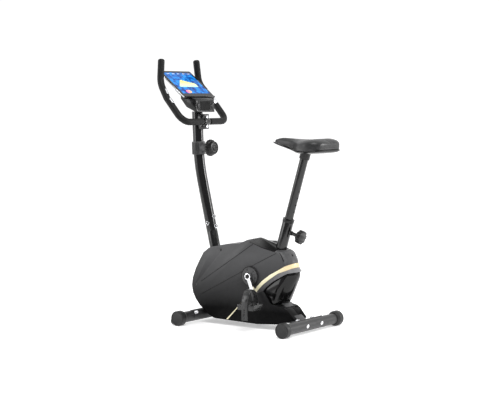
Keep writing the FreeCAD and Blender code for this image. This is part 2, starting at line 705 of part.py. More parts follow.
def slab(half, along0, along1, low, high):
    """A slab lying on the tablet's plane."""
    origin, up, normal = tablet_frame()
    corners = []
    for a, n in ((along0, low), (along1, low), (along1, high), (along0, high)):
        p = origin + up * a + normal * n
        corners.append((p.y, p.z))
    return prism(corners, -half, half)


def ledge_tray():
    floor = slab(LEDGE_HALF, -8, 60, -8.3, -4.3)
    stop = slab(LEDGE_HALF, -8, -3.3, -8.3, 8)
    return floor.fuse(stop)


def make_tablet():
    body = slab(TABLET_HALF, -3, TABLET_LONG - 3, -4, TABLET_T - 4)
    edges = [edge for edge in body.Edges
             if abs(edge.Length - TABLET_T) < 0.01]
    save("tablet", body.makeFillet(8.0, edges))


def form_outline(inset):
    corners = [V(0, y, z) for y, z in HOUSE_OUTLINE]
    wire = Part.makePolygon(corners + corners[:1])
    if inset:
        wire = wire.makeOffset2D(-inset, 2)
    return Part.Face(wire)


def crease_cutter(crease, inset, side):
    """Half space that trims the side above a crease line."""
    (y0, z0), (y1, z1), degrees = crease
    along = V(0, y1 - y0, z1 - z0).normalize()
    up = V(0, -along.z, along.y)
    a = math.radians(degrees)
    normal = V(side * math.cos(a), 0, 0) + up * math.sin(a)
    start = V(side * crease_x(crease), y0, z0) - normal * inset
    plane = Part.makePlane(2000, 2000, V(0, 0, 0), V(0, 0, 1))
    plane.translate(V(-1000, -1000, 0))
    plane.Placement = FreeCAD.Placement(start, FreeCAD.Rotation(V(0, 0, 1), normal)).multiply(
        plane.Placement)
    return plane.extrude(normal * 400)


def crease_x(crease):
    """Half thickness of the housing at a crease line."""
    if crease is LOW_CREASE:
        return HOUSE_HALF
    (y0, z0), (y1, z1), degrees = LOW_CREASE
    along = V(0, y1 - y0, z1 - z0).normalize()
    up = V(0, -along.z, along.y)
    reach = V(0, crease[0][0] - y0, crease[0][1] - z0).dot(up)
    return HOUSE_HALF - reach * math.tan(math.radians(degrees))


def roof_cutter(inset, side):
    (y0, z0), (y1, z1), degrees = ROOF_RIDGE
    along = V(0, y1 - y0, z1 - z0).normalize()
    up = V(0, -along.z, along.y)
    a = math.radians(degrees)
    normal = V(side * math.sin(a), 0, 0) + up * math.cos(a)
    start = V(0, y0, z0) - normal * inset
    plane = Part.makePlane(2000, 2000, V(-1000, -1000, 0), V(0, 0, 1))
    plane.Placement = FreeCAD.Placement(start, FreeCAD.Rotation(V(0, 0, 1), normal)).multiply(
        plane.Placement)
    return plane.extrude(normal * 400)


def side_x(y, inset):
    return HOUSE_HALF - max(0.0, y - TAPER_START_Y) * TAPER - inset


def tail_form(inset):
    """The rounded stern, lofted through level sections."""
    wires = []
    last = len(TAIL_SECTIONS) - 1
    for n, (z, reach) in enumerate(TAIL_SECTIONS):
        z = z + inset if n == 0 else z - inset if n == last else z
        tip = reach - inset
        crease = tip - TAIL_BULGE
        front = TAPER_START_Y + 1.0
        left, near = V(side_x(crease, inset), crease, z), V(side_x(front, inset), front, z)
        right, far = V(-left.x, crease, z), V(-near.x, front, z)
        arc = Part.Arc(left, V(0, tip, z), right).toShape()
        wires.append(Part.Wire([Part.makeLine(near, left), arc, Part.makeLine(right, far),
                                Part.makeLine(far, near)]))
    return Part.makeLoft(wires, True, True)


def taper_cutter(inset, side):
    y1 = 420.0
    x1 = side_x(y1, inset)
    x0 = side_x(TAPER_START_Y, inset)
    points = [V(side * x0, TAPER_START_Y, 0), V(side * x1, y1, 0), V(side * 200, y1, 0),
              V(side * 200, TAPER_START_Y, 0)]
    return Part.Face(Part.makePolygon(points + points[:1])).extrude(V(0, 0, 500))


def housing_form(inset):
    """The whole housing as one block, with every face moved inwards by the inset."""
    half = HOUSE_HALF - inset
    body = form_outline(inset).extrude(V(2 * half, 0, 0))
    body.translate(V(-half, 0, 0))
    for side in (-1, 1):
        body = body.cut(taper_cutter(inset, side))
    body = body.fuse(tail_form(inset)).removeSplitter()
    for side in (-1, 1):
        body = body.cut(crease_cutter(LOW_CREASE, inset, side))
        body = body.cut(crease_cutter(HIGH_CREASE, inset, side))
        body = body.cut(roof_cutter(inset, side))
    return body


def housing_openings():
    """Room for the tubes, the crank spindle, the leg and the beam."""
    gap = 1.0
    front = rod(front_axis_at(250), front_axis_at(500), TUBE_R + gap)
    seat = rod(seat_point(-120), seat_point(120), TUBE_R + gap)
    spindle = x_rod(CRANK_Y, CRANK_Z, DISC_R - 12, -120, 120)
    leg = leg_envelope(-gap).common(half_space_y(150, True))
    beam = union([
        block(-BEAM_HALF - gap, BEAM_HALF + gap, y0, y1, BEAM_Z0 - gap, BEAM_Z1 + gap)
        for y0, y1 in ((-320, -120), (195, 262))
    ])
    foot = x_rod(FRONT_FOOT_Y, FOOT_Z, FOOT_R + 8, -200, 200)
    mid_foot = x_rod(REAR_FOOT_Y, FOOT_Z, FOOT_R + 8, -200, 200)
    return [front, seat, spindle, leg, beam, foot, mid_foot]


def make_housing():
    outer, inner = housing_form(0.0), housing_form(WALL)
    deep, deeper = housing_form(TAIL_INSET), housing_form(TAIL_INSET + WALL)
    tail_zone = prism(TAIL_EDGE, -200, 200)
    lip_zone = prism(lip_points(), -200, 200).cut(tail_zone)
    skin = outer.cut(inner).cut(tail_zone)
    lip = outer.cut(deeper).common(lip_zone)
    skin = skin.fuse(lip)
    tail = deep.cut(deeper).common(tail_zone)
    openings = housing_openings() + [screw_space()]
    for opening in openings:
        skin = skin.cut(opening)
        tail = tail.cut(opening)
    top_zone = roof_cutter(WALL + 0.1, 1).fuse(roof_cutter(WALL + 0.1, -1))
    top_zone = top_zone.common(block(-100, 100, 40, 177, 330, 450))
    panel_zone = prism(((181, 356), (300, 356), (300, 312.3), (252, 305.3), (229, 294)), -54, 54)
    top = biggest(skin.common(top_zone))
    panel = biggest(skin.common(panel_zone))
    skin = skin.cut(top_zone).cut(panel_zone)
    left = biggest(skin.common(block(0, 200, -500, 500, -50, 600)))
    save("housing_left", left)
    save("housing_right", mirrored(left))
    save("tail_cover", biggest(tail))
    save("top_cover", top)
    save("rear_panel", panel)
    accent = housing_form(-1.2).cut(outer).common(prism(ACCENT_TOP + ACCENT_LOW, -200, 200))
    save("accent_strip", *accent.Solids)


def screw_space():
    holes = [x_rod(y, z, SCREW_HEAD_R + 1.0, -100, 100) for y, z in SCREW_PLACES]
    holes.append(rod(yz(215, 338), yz(260, 338), SCREW_HEAD_R + 1.0))
    return union(holes)


def make_screws():
    """Long screws that draw the two halves together, and one through the rear panel."""
    screws = []
    for (y, z), reach in zip(SCREW_PLACES, (48.0, 66.0)):
        screws.append(x_rod(y, z, 2.0, -reach, reach))
        for side in (-1, 1):
            start = V(side * reach, y, z)
            head = rod(start, start + V(side * 3, 0, 0), SCREW_HEAD_R)
            screws[-1] = screws[-1].fuse(head)
    head = rod(yz(224, 338), yz(227, 338), SCREW_HEAD_R)
    screws.append(head.fuse(rod(yz(200, 338), yz(225, 338), 2.0)))
    save("housing_screws", *screws)


def lip_points():
    """The strip of housing between the accent and the tail cover."""
    return ((150.0, 124.0),) + ACCENT_LOW[::-1] + TAIL_EDGE[5::-1]


def make_crank():
    disc = x_rod(CRANK_Y, CRANK_Z, DISC_R, DISC_X, DISC_X + DISC_T)
    for n in range(6):
        a = math.radians(47 + 60 * n)
        hole = x_rod(CRANK_Y + 30 * math.cos(a), CRANK_Z + 30 * math.sin(a), 2.2, 60, 100)
        disc = disc.cut(hole)
    disc = disc.cut(x_rod(CRANK_Y, CRANK_Z, SPINDLE_R + 0.02, 60, 120))
    save("crank_discs", disc, mirrored(disc))
    end = ARM_X1 - ARM_ROOT - 1
    spindle = x_rod(CRANK_Y, CRANK_Z, SPINDLE_R, -end, end)
    save("crank_spindle", spindle)
    arm, pedal_pin = crank_arm()
    pedal = pedal_body()
    save("crank_arm_left", arm)
    save("crank_arm_right", opposite(arm))
    save("pedal_spindles", pedal_pin, opposite(pedal_pin))
    save("pedal_left", pedal)
    save("pedal_right", opposite(pedal))
    save("pedal_strap_left", pedal_strap(True))
    save("pedal_strap_right", opposite(pedal_strap(False)))


def opposite(shape):
    """The same piece on the other end of the spindle, half a turn round."""
    turned = mirrored(shape)
    turned.rotate(yz(CRANK_Y, CRANK_Z), V(1, 0, 0), 180)
    return turned


def pedal_centre():
    a = math.radians(CRANK_SWING)
    return CRANK_Y + CRANK_LONG * math.sin(a), CRANK_Z - CRANK_LONG * math.cos(a)


def crank_arm():
    y, z = pedal_centre()
    centre, eye_at = yz(CRANK_Y, CRANK_Z), yz(y, z)
    down = (eye_at - centre).normalize()
    across = V(0, -down.z, down.y)
    corners = []
    for place, x in ((centre, ARM_X0 - ARM_ROOT), (centre, ARM_X1 - ARM_ROOT),
                     (eye_at, ARM_X1), (eye_at, ARM_X0)):
        corners.append(place + V(x, 0, 0) - across * (ARM_WIDE / 2))
    bar = Part.Face(Part.makePolygon(corners + corners[:1])).extrude(across * ARM_WIDE)
    boss_end = ARM_X1 - ARM_ROOT + 2
    boss = x_rod(CRANK_Y, CRANK_Z, ARM_BOSS_R, DISC_X + DISC_T + 1, boss_end)
    eye = x_rod(y, z, ARM_EYE_R, ARM_X0, ARM_X1)
    arm = union([bar, boss, eye])
    arm = arm.cut(x_rod(CRANK_Y, CRANK_Z, SPINDLE_R + 0.02, 60, boss_end - 2.5))
    arm = arm.cut(x_rod(y, z, PEDAL_PIN_R + 0.02, 60, 200))
    pin = x_rod(y, z, PEDAL_PIN_R, ARM_X0, PEDAL_X + PEDAL_HALF_WIDE - 8)
    collar = x_rod(y, z, PEDAL_PIN_R + 3, ARM_X1 + 0.1, ARM_X1 + 5)
    return arm, pin.fuse(collar)


def pedal_body():
    y, z = pedal_centre()
    wide, long, tall = PEDAL_HALF_WIDE, PEDAL_HALF_LONG, PEDAL_HALF_TALL
    body = block(PEDAL_X - wide, PEDAL_X + wide, y - long, y + long, z - tall, z + tall)
    edges = [edge for edge in body.Edges if abs(edge.Length - 2 * tall) < 0.01]
    body = body.makeFillet(9.0, edges)
    for side in (-1, 1):
        near, far = sorted((y + side * 13, y + side * (long - 7)))
        for x0, x1 in ((-wide + 8, -2), (2, wide - 8)):
            body = body.cut(block(PEDAL_X + x0, PEDAL_X + x1, near, far, z - 50, z + 50))
    body = body.cut(x_rod(y, z, PEDAL_PIN_R + RUN_GAP, 60, PEDAL_X + wide - 7.5))
    return body


def pedal_strap(tail_down):
    """Loop over the foot, with a perforated tail that hangs down or lies along the loop."""
    y, z = pedal_centre()
    outer, inner = [], []
    steps = 20
    for n in range(steps + 1):
        a = math.pi * n / steps
        c, s = math.cos(a), math.sin(a)
        inner.append(V(PEDAL_X + PEDAL_HALF_WIDE * c, 0, z + 10 + (STRAP_TOP - 10 - STRAP_T) * s))
        outer.append(V(PEDAL_X + (PEDAL_HALF_WIDE + STRAP_T) * c, 0, z + 10 + (STRAP_TOP - 10) * s))
    corners = outer + inner[::-1]
    arch = Part.Face(Part.makePolygon(corners + corners[:1]))
    arch.translate(V(0, y - STRAP_HALF, 0))
    arch = arch.extrude(V(0, 2 * STRAP_HALF, 0))
    x_in, x_out = PEDAL_X - PEDAL_HALF_WIDE, PEDAL_X + PEDAL_HALF_WIDE
    near = block(x_in - STRAP_T, x_in, y - STRAP_HALF, y + STRAP_HALF, z - 9, z + 10)
    if tail_down:
        tail = block(x_out, x_out + STRAP_T, y - STRAP_HALF, y + STRAP_HALF, z + STRAP_TAIL, z + 10)
        pieces = [arch, near, punched(tail, y, z - 10, -10)]
    else:
        far = block(x_out, x_out + STRAP_T, y - STRAP_HALF, y + STRAP_HALF, z - 9, z + 10)
        tail = block(x_out + STRAP_T, x_out + 2 * STRAP_T, y - STRAP_HALF, y + STRAP_HALF,
                     z - 9, z - STRAP_TAIL)
        pieces = [arch, near, far, punched(tail, y, z + 14, 9)]
    return union(pieces).cut(x_rod(y, z, PEDAL_PIN_R + 1, 60, x_in + 1))


def punched(tail, y, z, step):
    """The strap's tail with its row of buckle holes."""
    for n in range(5):
        tail = tail.cut(x_rod(y, z + n * step, 2.5, PEDAL_X, PEDAL_X + 80))
    return tail


def wrap_face(grow):
    """Outline round both pulleys, drawn as two discs and the body between their tangents."""
    big, small = PULLEY_R + grow, HUB_R + grow
    along = V(0, CRANK_Y - FLY_Y, CRANK_Z - FLY_Z)
    gap = along.Length
    along.normalize()
    lean = -(big - small) / gap
    corners = []
    for side in (1, -1):
        across = V(0, -along.z, along.y) * side
        normal = along * lean + across * math.sqrt(1 - lean * lean)
        corners.append((yz(FLY_Y, FLY_Z) + normal * small, yz(CRANK_Y, CRANK_Z) + normal * big))
    (a, b), (d, c) = corners
    middle = prism([(p.y, p.z) for p in (a, b, c, d)], BELT_X0, BELT_X1)
    discs = [x_rod(CRANK_Y, CRANK_Z, big, BELT_X0, BELT_X1),
             x_rod(FLY_Y, FLY_Z, small, BELT_X0, BELT_X1)]
    return union([middle] + discs), d, c


def make_drive():
    belt = wrap_face(BELT_GAP + BELT_T)[0].cut(wrap_face(BELT_GAP)[0])
    save("drive_belt", belt)
    rim = x_rod(CRANK_Y, CRANK_Z, PULLEY_R, BELT_X0, BELT_X1)
    for x in (BELT_X0 - 1, BELT_X0 + 8):
        rim = rim.cut(x_rod(CRANK_Y, CRANK_Z, PULLEY_R - 7, x, x + 5).cut(
            x_rod(CRANK_Y, CRANK_Z, 18, x, x + 5)))
    for n in range(5):
        a = math.radians(90 + 72 * n)
        rim = rim.cut(x_rod(CRANK_Y + 48 * math.cos(a), CRANK_Z + 48 * math.sin(a), 17, -60, 0))
    rim = rim.cut(x_rod(CRANK_Y, CRANK_Z, SPINDLE_R + 0.02, -60, 0))
    save("drive_pulley", rim)
    make_flywheel()
    make_brake_arm()
    make_idler()


def make_flywheel():
    wheel = x_rod(FLY_Y, FLY_Z, FLY_R, FLY_X0, FLY_X1)
    for x in (FLY_X0 - 1, FLY_X1 - 4):
        wheel = wheel.cut(x_rod(FLY_Y, FLY_Z, FLY_R - 16, x, x + 5).cut(
            x_rod(FLY_Y, FLY_Z, 20, x, x + 5)))
    wheel = wheel.cut(x_rod(FLY_Y, FLY_Z, AXLE_R + 0.02, 0, 80))
    save("flywheel", wheel)
    axle = x_rod(FLY_Y, FLY_Z, AXLE_R, BELT_X0 - 4, FLY_X1 + 6)
    hub = x_rod(FLY_Y, FLY_Z, HUB_R, BELT_X0, BELT_X1)
    save("flywheel_axle", axle.fuse(hub).removeSplitter())
    sleeve = x_rod(FLY_Y, FLY_Z, 14, -20, 20)
    neck = block(-12, 12, FLY_Y - 45, FLY_Y, FLY_Z - 13, FLY_Z + 13)
    bracket = sleeve.fuse(neck).removeSplitter()
    bracket = bracket.cut(rod(front_axis_at(100), front_axis_at(350), TUBE_R))
    bracket = biggest(bracket).cut(x_rod(FLY_Y, FLY_Z, AXLE_R + RUN_GAP, -60, 60))
    save("flywheel_bracket", bracket)


def make_brake_arm():
    """Curved arm that holds the brake magnets close to the flywheel's rim."""
    ring = x_rod(FLY_Y, FLY_Z, FLY_R + 9, FLY_X0 - 2, FLY_X1 + 2)
    ring = ring.cut(x_rod(FLY_Y, FLY_Z, FLY_R + 2, 0, 80))
    points = [(FLY_Y, FLY_Z)]
    for degrees in (-68, -40, 5):
        a = math.radians(degrees)
        points.append((FLY_Y + 200 * math.cos(a), FLY_Z + 200 * math.sin(a)))
    arc = ring.common(prism(points, 0, 80))
    ear = x_rod(MAGNET_Y, MAGNET_Z, 10, 31, 38)
    link = prism([(MAGNET_Y - 7, MAGNET_Z), (MAGNET_Y + 8, MAGNET_Z - 4),
                  (FLY_Y + 62, FLY_Z - 96), (FLY_Y + 44, FLY_Z - 103)], 31, 38)
    link = link.cut(x_rod(FLY_Y, FLY_Z, FLY_R + 2, 0, 80))
    arm = union([arc, ear, link])
    save("magnet_arm", biggest(arm.cut(x_rod(MAGNET_Y, MAGNET_Z, PIVOT_R + RUN_GAP, 0, 80))))


def make_idler():
    belt, low, high = wrap_face(BELT_GAP + BELT_T)
    run = (high - low).normalize()
    down = V(0, run.z, -run.y)
    centre = (low + high) * 0.5 + down * (ROLLER_R + 0.3)
    roller = x_rod(centre.y, centre.z, ROLLER_R, BELT_X0, BELT_X1)
    save("idler_roller", roller.cut(x_rod(centre.y, centre.z, PIVOT_R + RUN_GAP, -60, 0)))
    plate = x_rod(centre.y, centre.z, 8, -34.5, -31)
    plate = plate.fuse(x_rod(IDLER_Y, IDLER_Z, 9, -34.5, -31))
    along = (yz(IDLER_Y, IDLER_Z) - centre).normalize()
    side = V(0, -along.z, along.y) * 7
    pivot = yz(IDLER_Y, IDLER_Z)
    corners = [centre + side, pivot + side, pivot - side, centre - side]
    plate = plate.fuse(prism([(p.y, p.z) for p in corners], -34.5, -31))
    plate = plate.fuse(x_rod(centre.y, centre.z, PIVOT_R, -47, -33)).removeSplitter()
    save("idler_arm", plate.cut(x_rod(IDLER_Y, IDLER_Z, PIVOT_R + RUN_GAP, -60, 0)))


os.makedirs("parts", exist_ok=True)
make_feet()
make_foot_fasteners()
make_frame()
make_post()
make_handlebar()
make_seat()
make_console()
make_housing()
make_screws()
make_crank()
make_drive()
print(len(EXPORTED), "nodes")
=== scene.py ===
import json
import math

import bmesh
import bpy
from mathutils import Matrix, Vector, noise
from mathutils.bvhtree import BVHTree

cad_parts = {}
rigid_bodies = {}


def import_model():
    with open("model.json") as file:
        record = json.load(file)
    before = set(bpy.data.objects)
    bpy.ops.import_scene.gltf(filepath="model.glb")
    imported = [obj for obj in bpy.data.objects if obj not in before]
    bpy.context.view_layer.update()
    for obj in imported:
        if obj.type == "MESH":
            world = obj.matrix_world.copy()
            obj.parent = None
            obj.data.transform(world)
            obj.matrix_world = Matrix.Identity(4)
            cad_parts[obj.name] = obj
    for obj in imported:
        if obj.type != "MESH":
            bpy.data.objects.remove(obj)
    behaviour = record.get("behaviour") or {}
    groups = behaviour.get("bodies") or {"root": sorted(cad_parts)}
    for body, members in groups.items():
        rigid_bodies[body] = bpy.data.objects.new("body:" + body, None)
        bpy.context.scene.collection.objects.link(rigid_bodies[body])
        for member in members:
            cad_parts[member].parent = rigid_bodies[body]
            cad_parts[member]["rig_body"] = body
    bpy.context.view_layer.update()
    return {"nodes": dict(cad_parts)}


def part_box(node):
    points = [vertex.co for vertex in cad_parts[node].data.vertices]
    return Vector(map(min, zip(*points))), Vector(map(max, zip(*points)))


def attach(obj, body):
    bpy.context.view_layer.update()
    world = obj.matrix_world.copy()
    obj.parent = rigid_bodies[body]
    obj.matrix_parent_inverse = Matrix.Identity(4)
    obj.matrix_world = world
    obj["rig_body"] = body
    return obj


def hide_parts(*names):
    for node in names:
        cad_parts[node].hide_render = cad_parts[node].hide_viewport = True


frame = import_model()
nodes = frame["nodes"]

# Upright exercise bike. Metres, +Z up, the rider faces -Y and +X is the rider's left.

# camera and light
CAMERA_AT = (5.1136, 3.6835, 1.0560)
CAMERA_YAW = 35.74
CAMERA_DOWN = 4.35
CAMERA_LENS = 99.27
WORLD_WHITE = 1.06
WORLD_BACK = 0.28            # behind the camera, as a share of the white
WORLD_TURN = 0.62            # cosine to the camera's side where that darkness is full
LIGHTS = (                   # name, place, aim, width, watts
    ("key", (1.2, 1.8, 3.2), (0, 0, 0.4), 2.2, 85),
    ("left_strip", (2.6, -2.6, 1.5), (0, 0, 0.5), 1.8, 34),
    ("rear_strip", (-2.4, 3.0, 1.4), (0, 0, 0.5), 1.0, 42),
)
FLOOR_SIZE = 60.0
FLOOR_NEAR = 2.4             # the floor stops this far out on the camera's side
FLOOR_GLOW = 0.42            # keeps the floor white out to the horizon

# rounding of the hard pieces
WELD = 1e-5                  # points nearer than this are one point
FLAT_ANGLE = 0.5             # faces within this many degrees are joined up
SOFT_ANGLE = 24.0            # edges sharper than this many degrees are rounded
SMOOTH_ANGLE = 35.0

# housing trim, in the side view: distance back, height
LOW_CREASE = ((-0.231, 0.128), (0.192, 0.349))
HIGH_CREASE = ((-0.226, 0.192), (0.085, 0.394))
# near-black cords along these two creases: painted shade
CREASE_R = 0.0011
LIP_TOP = (                  # lower edge of the gold strip
    (0.0937, 0.167), (0.1067, 0.183), (0.1287, 0.205), (0.1617, 0.231), (0.2007, 0.258),
    (0.2407, 0.273), (0.2607, 0.284), (0.3087, 0.290),
)
LIP_LOW = (                  # upper edge of the tail cover
    (0.1257, 0.174), (0.1397, 0.191), (0.1737, 0.219), (0.2137, 0.243), (0.2427, 0.259),
    (0.3087, 0.272),
)
LIP_FRONT = ((0.0937, 0.167), (0.1587, 0.124))
STRIPE = ((-0.073, 0.027), (0.024, 0.124))
STRIPE_HALF = 0.0032
STRIPE_TAPER = 0.75          # share of its width that the stripe loses towards its top
STRIPE_THICK = 0.0012
STRIPE_STEPS = 24
STRIPE_FOOT = 0.0275         # no point of the stripe is looked for lower than this
SIDE_MIN_X = 0.03            # hits nearer the middle are inside the housing
OUTSIDE = 0.3                # a distance that is clear of the housing on either side
BEHIND = 0.5                 # a distance that is clear of the housing behind it
PANEL_HALF = 0.0548
PANEL_LOW = 0.314
PANEL_TOP_GAP = 0.006
PANEL_FRONT = 0.18           # hits further forward than this are not on the panel's joint
PANEL_STEPS = 24
PANEL_GAP_R = 0.0020

# crank trim, pedals and the post's bolts
DISC_RIM_R = 0.0024
DISC_RIM_IN = 0.0018         # the rim's middle lies this far inside the disc's face
DISC_RIM_EDGE = 0.002        # and this far inside its edge
BOSS_RIM_RADIUS = 0.0185
BOSS_RIM_R = 0.0018
CAP_PROUD = 0.0040           # how far the crank arm's cap starts past the spindle's end
TREAD_TALL = 0.0010
TREAD_SINK = 0.0005
TREAD_HALF = 0.0008
TREAD_ROWS = (0.0020, 0.0048)    # from the edge of the pedal's bar
TREAD_END = 0.010
POST_LEAN = 13.5             # degrees, top forward
BOLT_CAP_SINK = 0.0040
SIDE_BOLT_X = 0.01           # the bolt on the side of the post is further out than this

# tension knob and the ribbed sleeve
KNOB_LOBES = 16
KNOB_LOBE_DEEP = 0.004
KNOB_RING_R = 0.0022
SLEEVE_LEAN = 2.5            # degrees, top forward
SLEEVE_END = 0.0035          # plain rim below the ribs
SLEEVE_RIMS = 0.0090         # both plain rims together
SLEEVE_AXIS_BACK = 0.0026
RIB_COUNT = 72
RIB_HALF = 0.0009
RIB_DEEP = 0.0007
RIB_SINK = 0.001
KNOB_NECK_SIDE = 0.66        # ribs that face back more than this are left out

# tablet
TABLET_RISE = 38.5           # degrees above level
TABLET_HALF_X = 0.115
TABLET_HALF_LONG = 0.096
TABLET_HALF_T = 0.004
TABLET_CORNER_R = 0.008
SCREEN_HALF_X = 0.102
SCREEN_HALF_UP = 0.078
CHART_BASE = -0.022
CHART_RIGHT = -0.062         # left and right are the rider's
CHART_LEFT = 0.074
CHART_PEAK = 0.66            # share of the chart's width, from its right end
CHART_LOW = 0.018
CHART_HIGH = 0.046
CHART_RIPPLE = 0.006
CHART_FOOT = 0.004
CHART_STEPS = 48
SCREEN_UP = 0.004            # the screen sits this far above the tablet's middle
SCREEN_R = 0.002
SCREEN_TALL = 0.0004
PRINT_LOW = 0.0002           # marks on the screen: from this far above the tablet's face
PRINT_HIGH = 0.0007          # to this far
GLASS_EDGE = 0.0015
GLASS_SINK = 0.0006
GLASS_PROUD = 0.0002
BAND_OUT = 0.0004
BAND_IN = 0.0012
BAND_FACES = (-0.0034, 0.0026)   # the band's two edges, out from the tablet's middle
DIAL_AT = (0.045, -0.060)
DIAL_HALF = (0.019, 0.012)
DIAL_STEPS = 32
MARK_COUNT = 5
MARK_FIRST = -0.082
MARK_STEP = 0.038
MARK_UP = 0.074
MARK_HALF = (0.009, 0.0016)
MARK_R = 0.001

# seat and grips
SEAT_VOXEL = 0.005
SEAT_SHRINK = 0.0025
SEAT_CAP = 0.005
SEAT_PRESSURE = 4.0
CLOTH_FRAMES = 20
CLOTH_DOWN = -0.6            # points whose normal is lower than this stay where they are
FOAM_VOXEL = 0.0028
PIPING_R = 0.0016
PIPING_ANGLE = 50.0          # the cord follows edges sharper than this many degrees
FOAM_PORES = 90.0            # waves of the foam's skin in a metre
FOAM_PORE_DEEP = 0.00025


# --- materials --------------------------------------------------------------------------

def new_material(name):
    mat = bpy.data.materials.new(name)
    mat.use_nodes = True
    tree = mat.node_tree
    shader = tree.nodes["Principled BSDF"]
    return mat, tree, shader


def noise_node(tree, scale, detail=3.0, stretch=(1, 1, 1)):
    coords = tree.nodes.new("ShaderNodeTexCoord")
    mapping = tree.nodes.new("ShaderNodeMapping")
    mapping.inputs["Scale"].default_value = stretch
    node = tree.nodes.new("ShaderNodeTexNoise")
    node.inputs["Scale"].default_value = scale
    node.inputs["Detail"].default_value = detail
    tree.links.new(coords.outputs["Object"], mapping.inputs["Vector"])
    tree.links.new(mapping.outputs["Vector"], node.inputs["Vector"])
    return node


def ramp(tree, source, low, high, start=0.35, end=0.65):
    node = tree.nodes.new("ShaderNodeValToRGB")
    node.color_ramp.elements[0].position = start
    node.color_ramp.elements[1].position = end
    node.color_ramp.elements[0].color = (*low, 1)
    node.color_ramp.elements[1].color = (*high, 1)
    tree.links.new(source, node.inputs["Fac"])
    return node.outputs["Color"]


def along_axis(tree, axis, low, high, ripple=0.08):
    """0 to 1 along one axis of the piece, with a little noise so that no step is flat."""
    coords = tree.nodes.new("ShaderNodeTexCoord")
    split = tree.nodes.new("ShaderNodeSeparateXYZ")
    tree.links.new(coords.outputs["Object"], split.inputs["Vector"])
    scaled = tree.nodes.new("ShaderNodeMapRange")
    scaled.inputs["From Min"].default_value = low
    scaled.inputs["From Max"].default_value = high
    tree.links.new(split.outputs[axis], scaled.inputs["Value"])
    mottle = noise_node(tree, 40)
    add = tree.nodes.new("ShaderNodeMath")
    add.operation = "MULTIPLY_ADD"
    add.inputs[1].default_value = ripple
    tree.links.new(mottle.outputs["Fac"], add.inputs[0])
    tree.links.new(scaled.outputs["Result"], add.inputs[2])
    return add.outputs["Value"]


def bump(tree, shader, source, strength, distance):
    node = tree.nodes.new("ShaderNodeBump")
    node.inputs["Strength"].default_value = strength
    node.inputs["Distance"].default_value = distance
    tree.links.new(source, node.inputs["Height"])
    tree.links.new(node.outputs["Normal"], shader.inputs["Normal"])


def surface(name, low, high, rough, scale=60.0, grain=900.0, grain_deep=0.15, grain_mm=0.1,
            metal=0.0, coat=0.0, coat_rough=0.1, rough_spread=0.06, stretch=(1, 1, 1), spec=0.5):
    """Mottled colour, uneven gloss and a fine grain: the base of every finish."""
    mat, tree, shader = new_material(name)
    tone = noise_node(tree, scale, stretch=stretch)
    tree.links.new(ramp(tree, tone.outputs["Fac"], low, high), shader.inputs["Base Color"])
    dull, shiny = (rough + rough_spread,) * 3, (rough - rough_spread,) * 3
    tree.links.new(ramp(tree, tone.outputs["Fac"], shiny, dull), shader.inputs["Roughness"])
    shader.inputs["Metallic"].default_value = metal
    shader.inputs["Coat Weight"].default_value = coat
    shader.inputs["Coat Roughness"].default_value = coat_rough
    shader.inputs["Specular IOR Level"].default_value = spec
    fine = noise_node(tree, grain, detail=2.0, stretch=stretch)
    bump(tree, shader, fine.outputs["Fac"], grain_deep, grain_mm / 1000)
    return mat


def graded(name, axis, low_at, high_at, low, high, rough, spec=0.3, glow=0.0, grain=1500,
           ripple=0.08, low_spec=None):
    """A finish whose colour shifts along one axis of the piece."""
    mat, tree, shader = new_material(name)
    level = along_axis(tree, axis, low_at, high_at, ripple)
    colour = ramp(tree, level, low, high, 0.0, 1.0)
    tree.links.new(colour, shader.inputs["Base Color"])
    gloss = noise_node(tree, 50)
    tree.links.new(ramp(tree, gloss.outputs["Fac"], (rough - 0.05,) * 3, (rough + 0.05,) * 3),
                   shader.inputs["Roughness"])
    shader.inputs["Specular IOR Level"].default_value = spec
    if low_spec is not None:
        tree.links.new(ramp(tree, level, (low_spec,) * 3, (spec,) * 3, 0.0, 1.0),
                       shader.inputs["Specular IOR Level"])
    if glow:
        tree.links.new(colour, shader.inputs["Emission Color"])
        shader.inputs["Emission Strength"].default_value = glow
    fine = noise_node(tree, grain, detail=2.0)
    bump(tree, shader, fine.outputs["Fac"], 0.12, 0.0001)
    return mat


def grey(value):
    return (value, value, value * 1.03)


def black_materials(m):
    m["paint"] = surface("satin_black_paint", grey(0.0015), grey(0.0030), 0.17, grain=1400,
                         grain_deep=0.01, rough_spread=0.02, spec=0.55)
    m["foot_paint"] = surface("textured_black_paint", grey(0.022), grey(0.030), 0.36,
                              grain=1400, spec=0.4)
    m["plastic"] = surface("matte_black_plastic", grey(0.005), grey(0.008), 0.26, grain=1100,
                           spec=0.3)
    m["cap"] = surface("end_cap_plastic", grey(0.017), grey(0.023), 0.42, grain=1000, spec=0.3)
    m["gloss"] = surface("gloss_black_plastic", grey(0.003), grey(0.004), 0.10, grain=300,
                         grain_deep=0.02, rough_spread=0.02, spec=0.3)
    m["rubber"] = surface("black_rubber", grey(0.014), grey(0.020), 0.30, grain=700, spec=0.45)
    m["pedal"] = surface("pedal_plastic", grey(0.010), grey(0.016), 0.26, grain=900, spec=0.5)
    m["foam"] = surface("grip_foam", grey(0.004), grey(0.009), 0.55, scale=300, grain=1500,
                        grain_deep=0.3, grain_mm=0.3, spec=0.22)
    m["leather"] = surface("seat_cover", grey(0.018), grey(0.024), 0.36, scale=120, grain=420,
                           grain_deep=0.25, grain_mm=0.4, spec=0.35)
    # Near black for real dark joints, rims and cord, and also for the cords laid along the
    # housing's creases as painted shade.
    m["line"] = surface("black_gap_and_painted_crease_shade", grey(0.003), grey(0.006), 0.5, spec=0.15)
    m["roof"] = surface("black_roof_plastic", grey(0.002), grey(0.004), 0.26, grain=1400,
                        grain_deep=0.03, rough_spread=0.03, spec=0.10)


